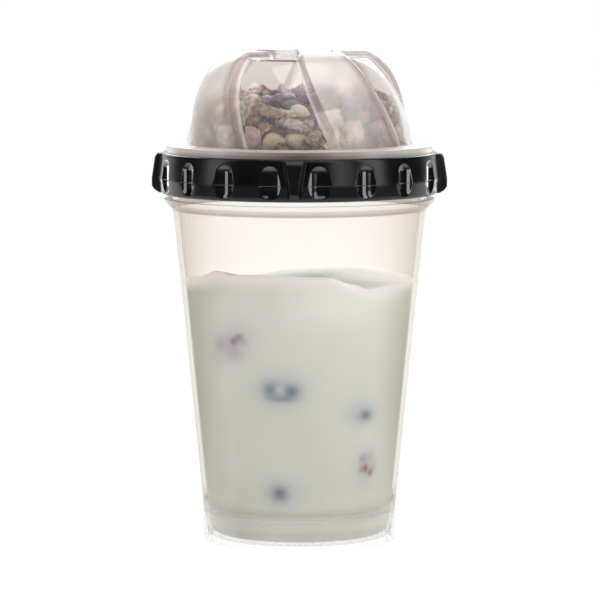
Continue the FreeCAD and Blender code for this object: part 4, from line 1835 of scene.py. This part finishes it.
@dataclass
class Granola:
    """Heap of granola under the dome: many loose pieces over a smaller core."""

    dome: Dome
    gap: float = 0.35
    clearance: float = 0.15
    core_inset: float = 3.2
    core_drop: float = 2.2
    core_waver: float = 0.9
    core_rows: int = 14
    core_rings: int = 20
    core_tone: float = 0.6
    mean: float = 17.4
    lump_pitch: float = 17.0
    columns: int = 180
    seed: int = 5
    forms: int = 5
    flake_size: Point = (3.2, 2.0, 0.32)
    nut_size: Pair = (4.4, 2.5)
    raisin_size: Point = (3.9, 3.0, 2.4)
    chunk_size: Point = (3.0, 2.3, 1.7)
    chunk_power: float = 0.55
    seed_size: Point = (0.9, 0.5, 0.5)
    thin_front: Pair = (-36.0, 40.0)
    thin_top: float = 15.0
    thin_cover: float = 0.12
    swells: tuple[Swell, ...] = (
        Swell(170, 0.3, 0.55, 3.4), Swell(80, 0.6, 0.4, 1.6), Swell(5, 0.9, 0.45, -1.6),
    )
    chosen: tuple[Chosen, ...] = (
        # behind the front channel, from left to right
        Chosen(Kind.CLUSTER, -28.5, 148.6, 3.2, (3.1, 5.6, 2.8), 0.72, 4),
        Chosen(Kind.PETAL, -26.5, 140.8, 2.6, (3.2, 4.3, 2.4), 0.45, -8),
        Chosen(Kind.CLUSTER, -21.0, 144.6, 3.2, (2.3, 2.1, 2.0), 0.55, 30),
        Chosen(Kind.NUT, -15.2, 140.3, 2.6, (5.0, 3.2, 2.4), 0.35, 22, 1.5),
        Chosen(Kind.CLUSTER, -11.0, 149.6, 3.4, (6.6, 1.5, 2.6), 0.2, -2),
        Chosen(Kind.CLUSTER, -5.0, 146.2, 3.0, (5.4, 2.1, 2.6), 0.3, -12),
        Chosen(Kind.FRUIT, -12.0, 147.3, 5.0, (4.6, 2.6, 2.4), 0.4, 5),
        Chosen(Kind.NUT, 0.8, 150.2, 2.8, (3.6, 2.1, 1.6), 0.15, -24),
        Chosen(Kind.NUT, -2.6, 140.4, 2.8, (3.4, 3.8, 2.2), 0.55, 60, 1.2),
        Chosen(Kind.CLUSTER, -9.6, 137.4, 2.4, (2.0, 1.5, 1.5), 0.8),
        Chosen(Kind.CLUSTER, 5.0, 145.0, 4.4, (3.2, 2.6, 2.4), 0.5, 20),
        Chosen(Kind.CLUSTER, 8.8, 140.6, 2.8, (3.0, 3.9, 2.4), 0.68, -5),
        Chosen(Kind.PETAL, 17.8, 147.4, 3.0, (4.6, 3.2, 2.6), 0.22, 10),
        Chosen(Kind.CLUSTER, 15.2, 142.6, 3.4, (2.7, 2.3, 2.2), 0.45, 40),
        Chosen(Kind.NUT, 20.6, 141.2, 2.6, (4.1, 1.8, 1.8), 0.25, 84),
        Chosen(Kind.CLUSTER, 14.6, 138.2, 2.4, (2.6, 2.0, 2.0), 0.35),
        Chosen(Kind.FRUIT, 2.0, 137.8, 3.2, (3.2, 2.2, 2.2), 0.3),
        Chosen(Kind.CLUSTER, -21.0, 137.4, 3.0, (2.6, 1.8, 1.8), 0.6),
        # behind the right panel
        Chosen(Kind.PETAL, 32.5, 142.6, 3.4, (3.9, 4.4, 2.8), 0.22, 12),
        Chosen(Kind.CLUSTER, 26.5, 138.8, 3.0, (2.8, 3.0, 2.2), 0.3),
        Chosen(Kind.FRUIT, 36.0, 152.2, 3.6, (3.6, 2.6, 2.4), 0.1, 10),
        Chosen(Kind.PETAL, 41.5, 148.2, 2.4, (2.0, 2.0, 1.8), 1.0),
        Chosen(Kind.PETAL, 52.0, 145.0, 2.4, (2.4, 1.8, 1.8), 0.9, 20),
        # behind the left panel
        Chosen(Kind.CLUSTER, -57.5, 147.8, 3.0, (3.6, 4.8, 2.8), 0.7, 10),
        Chosen(Kind.PETAL, -46.5, 141.2, 3.2, (4.0, 4.2, 2.6), 0.3, -5),
        Chosen(Kind.CLUSTER, -38.0, 146.4, 3.2, (3.2, 4.2, 2.6), 0.85),
        # dark fruit on top of the heap
        Chosen(Kind.FRUIT, -22.0, 152.6, 19.0, (5.0, 3.4, 4.0), 0.05),
        Chosen(Kind.FRUIT, 14.0, 152.4, 20.5, (4.6, 3.2, 4.0), 0.2, 12),
        Chosen(Kind.FRUIT, 50.0, 153.0, 23.0, (4.8, 3.6, 4.2), 0.0, -8),
        Chosen(Kind.FRUIT, -60.0, 151.8, 20.0, (4.2, 3.0, 3.8), 0.15, 6),
        Chosen(Kind.FRUIT, -4.0, 150.8, 11.5, (4.6, 2.8, 3.6), 0.1, -4),
        Chosen(Kind.FRUIT, 24.0, 150.6, 11.0, (4.4, 2.8, 3.6), 0.25, 4),
        Chosen(Kind.FRUIT, 150.0, 154.0, 26.0, (5.0, 3.2, 4.4), 0.1),
        Chosen(Kind.CLUSTER, -34.0, 151.2, 9.0, (4.0, 2.6, 3.0), 0.6),
    )

    def height(self, x: float, y: float) -> float:
        """Height of the heap at a point.

        Args:
            x: across, in millimetres.
            y: away, in millimetres.

        Returns:
            The height.
        """
        whole = self.dome.crown
        height = self.dome.foot + self.mean + sum(swell.at(x, y, whole) for swell in self.swells)
        wave = 2 * math.pi / self.lump_pitch
        height += 0.9 * math.sin(wave * x + 0.7) * math.cos(wave * y - 0.4)
        return height + 0.6 * math.sin(1.6 * wave * (x + y) + 2.0)

    def side(self, height: float) -> float:
        """Largest radius that clears the dome at a height."""
        return self.dome.channel_radius(height, self.dome.wall) - self.gap

    def core(self, material: Material) -> Object:
        """Rough core that closes the view between the loose pieces; its very dark brown is toasted crumb
        deepened into painted shade of the gaps.

        Args:
            material: its finish.

        Returns:
            The object.
        """
        foot = self.dome.foot + 0.05
        azimuths = [k * FULL_TURN / self.columns for k in range(self.columns)]
        edge = self.dome.crown - 6
        rims = [self.height(*around(edge, a, 0)[:2]) - self.core_drop for a in azimuths]
        rows = [[(0.0, 0.0, foot)] * self.columns]
        for i in range(self.core_rows + 1):
            row = []
            for azimuth, rim in zip(azimuths, rims):
                height = mix(foot, rim, i / self.core_rows)
                bump = self.core_waver * noise.noise(Vector(around(9, azimuth, height)) * 0.35)
                row.append(around(self.side(height) - self.core_inset + bump, azimuth, height))
            rows.append(row)
        for ring in range(1, self.core_rings + 1):
            row = []
            for azimuth, rim in zip(azimuths, rims):
                radius = (self.side(rim) - self.core_inset) * (1 - ring / self.core_rings)
                x, y, _ = around(radius, azimuth, 0)
                bump = self.core_waver * noise.noise(Vector((x, y, 0)) * 0.3)
                row.append((x, y, self.height(x, y) - self.core_drop + bump))
            rows.append(row)
        shape = Shape()
        shape.sheet(rows)
        return shape.build("granola_core", material, crease=60)

    def keep_inside(self, piece: Object) -> None:
        """Presses what would cut the dome's wall or the cap back to its inner face.

        Args:
            piece: the loose pieces of one kind.
        """
        for vertex in piece.data.vertices:
            x, y, z = (c / MM for c in vertex.co)
            z = max(z, self.dome.foot + 0.02)
            radius = math.hypot(x, y)
            limit = self.side(min(z, self.dome.sunk_top - 3)) + self.gap - self.clearance
            if radius > limit:
                x, y = x * limit / radius, y * limit / radius
            vertex.co = (x * MM, y * MM, z * MM)

    def flake(self, rng: random.Random) -> Shape:
        """Rolled oat: a thin ragged disc, creased along its middle and curled.

        Args:
            rng: draws its details.

        Returns:
            The shape, centred on the origin.
        """
        length, width, thick = self.flake_size
        length, width = length * rng.uniform(0.8, 1.2), width * rng.uniform(0.8, 1.2)
        curl = rng.uniform(-0.08, 0.12)
        phase = rng.uniform(0, 6)
        columns = 12

        def spot(share: float, k: int, side: float) -> Point:
            """Point of the flake.

            Args:
                share: share of the way out.
                k: column.
                side: 1 on the upper side, -1 on the lower one.

            Returns:
                The point.
            """
            angle = 2 * math.pi * k / columns
            ragged = 1 + 0.12 * math.sin(3 * angle + phase) + 0.1 * math.sin(5 * angle + 2 * phase)
            x = length * share * ragged * math.cos(angle)
            y = width * share * ragged * math.sin(angle)
            crease = 0.3 * math.exp(-(y / 0.6) ** 2) * side
            return x, y, side * thick * (1.1 - 0.6 * share) - crease + curl * (x * x - y * y)

        outline = ((0.0, -1.0), (0.85, -1.0), (1.0, 1.0), (0.6, 1.0), (0.0, 1.0))
        rows = [[spot(share, k, side) for k in range(columns)] for share, side in outline]
        shape = Shape()
        shape.sheet([row[::-1] for row in rows[::-1]])
        return shape

    def cluster(self, rng: random.Random, radii: Point = (4.0, 3.2, 2.4)) -> Shape:
        """Baked cluster: a rough crumb with oat flakes and seeds stuck all over it.

        Args:
            rng: draws its details.
            radii: its half sizes.

        Returns:
            The shape, centred on the origin.
        """
        shape = lump(tuple(0.86 * r for r in radii), 16, 11, 0.4, 2.6, rng.uniform(0, 90))
        a, b, c = radii
        for _ in range(max(round(4.2 * (a * b + a * c + b * c) / 9), 5)):
            unit = any_way(rng)
            spin = Euler((rng.gauss(0, 0.4), rng.gauss(0, 0.4), rng.uniform(0, 6))).to_quaternion()
            turn = unit.to_track_quat("Z", "X") @ spin
            spot = [0.84 * c * r for c, r in zip(unit, radii)]
            shape.take(self.flake(rng), turn, rng.uniform(0.45, 0.7), spot)
        for _ in range(5):
            unit = any_way(rng)
            seed = lump(self.seed_size, 7, 5, 0.1, 1.0, rng.uniform(0, 9))
            shape.take(seed, unit.to_track_quat("X", "Z"), 1.0, [0.98 * c * r for c, r in zip(unit, radii)])
        return shape

    def nut(self, rng: random.Random, bend: float = 0.0) -> Shape:
        """Half nut: pointed at one end, split flat on one side, and curved like a kidney if bent.

        Args:
            rng: draws its details.
            bend: how far its middle is pushed sideways.

        Returns:
            The shape, centred on the origin.
        """
        rows = []
        columns, rings = 14, 12
        length, width = self.nut_size
        length, width = length * rng.uniform(0.9, 1.1), width * rng.uniform(0.9, 1.1)
        for i in range(rings + 1):
            t = i / rings
            girth = width * (math.sin(math.pi * t) ** 0.62 * (1 - 0.35 * t))
            bow = bend * (1 - (2 * t - 1) ** 2)
            row = []
            for k in range(columns):
                angle = 2 * math.pi * k / columns
                wrinkle = 1 + 0.05 * math.sin(5 * angle + 3 * t)
                row.append((length * (2 * t - 1), (girth * math.cos(angle) + bow) * wrinkle,
                            max(0.8 * girth * math.sin(angle), -0.25 * girth)))
            rows.append(row)
        shape = Shape()
        shape.sheet(rows[::-1])
        return shape

    def raisin(self, rng: random.Random) -> Shape:
        """Dried berry: a soft lump with deep irregular wrinkles.

        Args:
            rng: draws its details.

        Returns:
            The shape, centred on the origin.
        """
        seed = rng.uniform(0, 90)
        shape = lump(self.raisin_size, 20, 14, 0.22, 1.4, seed)
        shape.points = [
            tuple(Vector(p) * (1 - 0.28 * abs(noise.noise(Vector(p) * 0.75 + Vector((seed, 0, 0))))))
            for p in shape.points
        ]
        return shape

    def chunk(self, rng: random.Random) -> Shape:
        """Chunk of freeze-dried fruit: blocky, with worn corners and a pitted face.

        Args:
            rng: draws its details.

        Returns:
            The shape, centred on the origin.
        """
        seed = rng.uniform(0, 90)

        def spot(unit: Vector) -> Point:
            """Point on the worn block.

            Args:
                unit: direction from the middle.

            Returns:
                The point.
            """
            rough = 0.86 + 0.26 * noise.noise(unit * 2.1 + Vector((seed, 0, 0)))
            rough += 0.08 * noise.noise(unit * 6.0 + Vector((0, seed, 0)))
            return tuple(
                size * math.copysign(abs(c) ** self.chunk_power, c) * rough
                for c, size in zip(unit, self.chunk_size)
            )

        return ball(20, 14, spot)

    def variant(self, kind: Kind, rng: random.Random) -> Shape:
        """One piece of a kind.

        Args:
            kind: the kind.
            rng: draws its details.

        Returns:
            The shape, centred on the origin, its flat side across Z.
        """
        if kind is Kind.FLAKE:
            return self.flake(rng)
        if kind is Kind.CLUSTER:
            size = rng.uniform(0.8, 1.25)
            return self.cluster(rng, (4.0 * size, 3.3 * size, 2.5 * size))
        if kind is Kind.NUT:
            return self.nut(rng, rng.choice((0.0, 0.0, 1.4)))
        if kind is Kind.FRUIT:
            return self.raisin(rng)
        if kind is Kind.CRISP:
            return lump((1.7, 1.2, 1.0), 8, 6, 0.3, 2.0, rng.uniform(0, 90))
        return self.chunk(rng)

    def cover(self, core: Object) -> None:
        """Keeps scattered pieces thin where chosen ones lie behind the front channel and on top.

        Args:
            core: what the pieces are scattered on.
        """
        left, right = self.thin_front
        values = []
        for vertex in core.data.vertices:
            x, y, z = (c / MM for c in vertex.co)
            front = left < math.degrees(math.atan2(x, -y)) < right and z > self.dome.foot + 0.5
            values.append(self.thin_cover if front or math.hypot(x, y) < self.thin_top else 1.0)
        keep_values(core.data, "cover", values)

    def scatter(self, core: Object, tree: Tree, kind: Kind,
                material: Material, values: dict[str, object]) -> Object:
        """Lays one kind of piece over the core and adds the chosen ones.

        Args:
            core: what the pieces are scattered on.
            tree: the tree that scatters.
            kind: the kind of piece.
            material: its finish.
            values: the tree's inputs.

        Returns:
            The object.
        """
        rng = random.Random(f"{self.seed} {kind.value}")
        kinds = bpy.data.collections.new(kind.value + "_forms")
        forms = []
        for i in range(self.forms):
            form = self.variant(kind, rng).build(f"{kind.value}_form_{i}", material, crease=180)
            bpy.context.scene.collection.objects.unlink(form)
            kinds.objects.link(form)
            forms.append(form)
        piece = place(core.data.copy(), kind.value)
        grow(piece, tree, {"Kinds": kinds, "Material": material, **values})
        settle(piece)
        for form in forms:
            bpy.data.objects.remove(form)
        bpy.data.collections.remove(kinds)
        self.add_chosen(piece, kind)
        self.keep_inside(piece)
        piece.data.shade_smooth()
        return piece

    def add_chosen(self, piece: Object, kind: Kind) -> None:
        """Joins the chosen pieces of a kind to the scattered ones.

        Args:
            piece: the scattered ones.
            kind: the kind.
        """
        shape = Shape()
        tones: list[float] = []
        for number, one in enumerate(self.chosen):
            if one.kind is not kind:
                continue
            form = one.form(self, random.Random(f"{self.seed} chosen {number}"))
            inset = self.side(one.height) - one.inset
            outward = Vector(around(1.0, one.azimuth, 0.0))
            across = Vector((0, 0, 1)).cross(outward)
            stand = Matrix((across, Vector((0, 0, 1)), outward)).transposed().to_quaternion()
            turn = stand @ Euler((0, 0, math.radians(one.roll))).to_quaternion()
            shape.take(form, turn, 1.0, around(inset, one.azimuth, one.height))
            tones += [one.tone] * len(form.points)
        if not shape.points:
            return
        extra = shape.mesh("chosen")
        keep_values(extra, "tone", tones)
        work = bmesh.new()
        work.from_mesh(piece.data)
        work.from_mesh(extra)
        bmesh.ops.remove_doubles(work, verts=work.verts, dist=0.001 * MM)
        work.to_mesh(piece.data)
        work.free()
        bpy.data.meshes.remove(extra)

    def make(self) -> None:
        """Builds the core and every kind of loose piece, in place of the CAD heap."""
        group = crumb_tone_group()
        tree = scatter_tree()
        # the core's browns are far darker than any piece: toasted crumb deepened into painted shade of the
        # gaps between pieces
        crumb = DryFood("toasted crumb", group, (0.20, 0.13, 0.10), (0.11, 0.07, 0.055), (0.05, 0.03, 0.03),
                        relief=0.5)
        core = self.core(crumb.material())
        self.cover(core)
        finishes = {
            Kind.CLUSTER: DryFood("oat clusters", group, (0.56, 0.455, 0.37), (0.405, 0.28, 0.21),
                                  (0.21, 0.125, 0.09), relief=0.5, patch=520.0),
            Kind.FLAKE: DryFood("rolled oats", group, (0.504, 0.412, 0.319), (0.378, 0.277, 0.193),
                                (0.218, 0.134, 0.084)),
            Kind.NUT: DryFood("nut halves", group, (0.588, 0.479, 0.353), (0.487, 0.37, 0.244),
                              (0.336, 0.218, 0.126), roughness=0.5, relief=0.15),
            Kind.FRUIT: DryFood("dried fruit", group, (0.20, 0.15, 0.20), (0.10, 0.075, 0.105),
                                (0.32, 0.08, 0.15), roughness=0.45, relief=0.2),
            Kind.CRISP: DryFood("crisps", group, (0.622, 0.538, 0.42), (0.47, 0.336, 0.218),
                                (0.252, 0.143, 0.084)),
            Kind.PETAL: DryFood("fruit chunks", group, (0.622, 0.554, 0.504), (0.487, 0.319, 0.311),
                                (0.37, 0.126, 0.185), relief=0.3, patch=420.0),
        }
        # how many to a square metre, lowest and highest lift in millimetres, tilt, smallest and largest
        plans = {
            Kind.CLUSTER: (9000.0, 0.0, 1.4, 0.5, 0.75, 1.1), Kind.FLAKE: (16000.0, 0.8, 3.0, 0.7, 0.8, 1.1),
            Kind.NUT: (4200.0, 0.6, 2.2, 0.6, 0.8, 1.05), Kind.FRUIT: (4600.0, 0.4, 2.0, 0.6, 0.8, 1.1),
            Kind.CRISP: (12000.0, 0.8, 2.8, 0.9, 0.7, 1.2), Kind.PETAL: (2800.0, 0.8, 2.2, 0.5, 0.8, 1.1),
        }
        for number, (kind, (density, low, high, tilt, smallest, largest)) in enumerate(plans.items()):
            piece = self.scatter(core, tree, kind, finishes[kind].material(), {
                "Density": density, "Lift Low": low * MM, "Lift High": high * MM, "Tilt": tilt,
                "Smallest": smallest, "Largest": largest, "Seed": self.seed + 3 * number,
            })
            hand_over(piece, "granola")
        keep_values(core.data, "tone", [self.core_tone] * len(core.data.vertices))
        hand_over(core, "granola", "granola")


# ---- studio


@dataclass(frozen=True)
class Lamp:
    """Soft light aimed at the object's middle.

    Its azimuth and elevation are in degrees, and its distance and sides are in metres.
    """

    name: str
    azimuth: float
    elevation: float
    distance: float
    width: float
    height: float
    power: float


@dataclass(frozen=True)
class WhiteSweep(Finish):
    """Pale floor that shows white and keeps a faint shadow.

    Reflections see it bright behind the object and near it, and dim in front.
    """

    paper: float = 0.9
    dim_paper: float = 0.05
    glow: float = 1.1
    glow_share: float = 0.88
    front_reflection: float = 0.02
    behind: Pair = (0.0, 0.3)
    near: Pair = (0.12, 0.45)
    near_share: float = 0.8
    under: Pair = (0.04, 0.16)

    def shader(self, graph: Graph) -> Node:
        """Adds the finish's nodes.

        Args:
            graph: the material's graph.

        Returns:
            The shader that goes on the surface.
        """
        path = graph.rays()
        spot = graph.spot()
        behind = graph.span(graph.parts(spot).outputs["Y"], *self.behind, self.front_reflection, 1.0)
        away = graph.add("ShaderNodeVectorMath", {0: spot}, operation="LENGTH").outputs["Value"]
        lit = graph.larger(behind, graph.span(away, *self.near, self.near_share, self.front_reflection))
        mirrored = graph.larger(path["Is Glossy Ray"], path["Is Transmission Ray"])
        dim = graph.times(mirrored, graph.calc("SUBTRACT", 1.0, lit))
        seen = graph.larger(path["Is Camera Ray"], graph.times(mirrored, lit))
        under = graph.times(path["Is Diffuse Ray"], graph.span(away, *self.under, 1.0, 0.0))
        tone = graph.blend(dim, (self.paper,) * 3, (self.dim_paper,) * 3)
        paper = graph.add("ShaderNodeBsdfDiffuse", {"Color": tone})
        glow = graph.add("ShaderNodeEmission", {"Color": WHITE, "Strength": self.glow})
        share = graph.larger(graph.times(seen, self.glow_share), under)
        return graph.add("ShaderNodeMixShader", {0: share, 1: paper, 2: glow})


@dataclass
class Studio:
    """White sweep, soft lamps and a long lens straight in front."""

    lens: float = 270.0
    sensor: float = 36.0
    camera_place: Point = (0.0002, -1.5525, 0.2277)
    pitch: float = -5.31
    floor_half: float = 1.5
    aim_height: float = 0.09
    lamps: tuple[Lamp, ...] = (
        Lamp("right box", 34, 18, 1.0, 0.25, 0.7, 0.8),
        Lamp("right strip", 62, 22, 0.8, 0.26, 1.0, 1.7),
        Lamp("left strip", -72, 22, 0.8, 0.24, 1.0, 1.3),
        Lamp("front", 8, 34, 1.2, 0.8, 0.4, 0.9),
        Lamp("back", 180, 32, 1.0, 0.9, 0.5, 5.5),
        Lamp("top", 10, 75, 0.8, 0.6, 0.6, 2.0),
        Lamp("right rim", 143, -2.5, 0.9, 0.38, 0.06, 0.36),
        Lamp("left rim", -143, -2.5, 0.9, 0.38, 0.06, 0.36),
    )
    front_reflection: float = 0.02
    front_light: float = 0.46
    back_light: float = 1.1

    def world(self) -> None:
        """White all round for the view; in reflections white behind and dim in front."""
        world = bpy.data.worlds.new("studio")
        bpy.context.scene.world = world
        world.use_nodes = True
        world.node_tree.nodes.clear()
        graph = Graph(world.node_tree)
        path = graph.rays()
        back = graph.parts(graph.add("ShaderNodeTexCoord").outputs["Generated"]).outputs["Y"]
        mirrored = graph.span(back, 0.5, 0.85, self.front_reflection, 1.0)
        bent = graph.span(back, -0.1, 0.2, self.front_reflection, 1.0)
        seen = graph.larger(graph.times(path["Is Glossy Ray"], mirrored),
                            graph.times(path["Is Transmission Ray"], bent))
        round_about = graph.span(back, 0.3, 0.9, self.front_light, self.back_light)
        strength = graph.larger(graph.larger(path["Is Camera Ray"], seen),
                                graph.times(path["Is Diffuse Ray"], round_about))
        sky = graph.add("ShaderNodeBackground", {"Color": WHITE, "Strength": strength})
        graph.surface(sky, "ShaderNodeOutputWorld")

    def floor(self) -> None:
        """Pale floor under the object."""
        half = self.floor_half
        shape = Shape()
        shape.points = [tuple(c / MM for c in corner) for corner in (
            (-half, -half, 0), (half, -half, 0), (half, half, 0), (-half, half, 0))]
        shape.faces = [(0, 1, 2, 3)]
        mesh = shape.mesh("floor")
        mesh.materials.append(WhiteSweep("white sweep").material())
        place(mesh, "floor")

    def light(self, lamp: Lamp) -> None:
        """Adds one lamp.

        Args:
            lamp: where it stands, its size and its power.
        """
        data = bpy.data.lights.new(lamp.name, "AREA")
        data.shape = "RECTANGLE"
        data.size = lamp.width
        data.size_y = lamp.height
        data.energy = lamp.power
        piece = bpy.data.objects.new(lamp.name, data)
        rise = math.radians(lamp.elevation)
        x, y, _ = around(lamp.distance * math.cos(rise), lamp.azimuth, 0)
        piece.location = (x, y, self.aim_height + lamp.distance * math.sin(rise))
        aim = Vector((0, 0, self.aim_height)) - piece.location
        piece.rotation_euler = aim.to_track_quat("-Z", "Y").to_euler()
        bpy.context.scene.collection.objects.link(piece)

    def camera(self) -> None:
        """Adds the camera."""
        data = bpy.data.cameras.new("camera")
        data.lens = self.lens
        data.sensor_width = self.sensor
        data.clip_start = 0.1
        data.clip_end = 20.0
        piece = bpy.data.objects.new("camera", data)
        piece.location = self.camera_place
        piece.rotation_euler = Euler((math.radians(90 + self.pitch), 0, 0))
        bpy.context.scene.collection.objects.link(piece)
        bpy.context.scene.camera = piece

    def make(self) -> None:
        """Builds the whole studio."""
        self.camera()
        self.world()
        self.floor()
        for lamp in self.lamps:
            self.light(lamp)
        bpy.context.scene.view_settings.view_transform = "Standard"


def main() -> None:
    """Builds the studio and every piece in order."""
    logging.basicConfig(level=logging.INFO, format="%(name)s: %(message)s")
    Studio().make()
    copies = ring_of_copies_tree()
    cup = Cup()
    cup.make()
    YogurtFill(cup).make()
    Berries(cup).make()
    Cap().make()
    dome = Dome()
    Granola(dome).make()
    dome.make(copies)


if __name__ == "__main__":
    main()
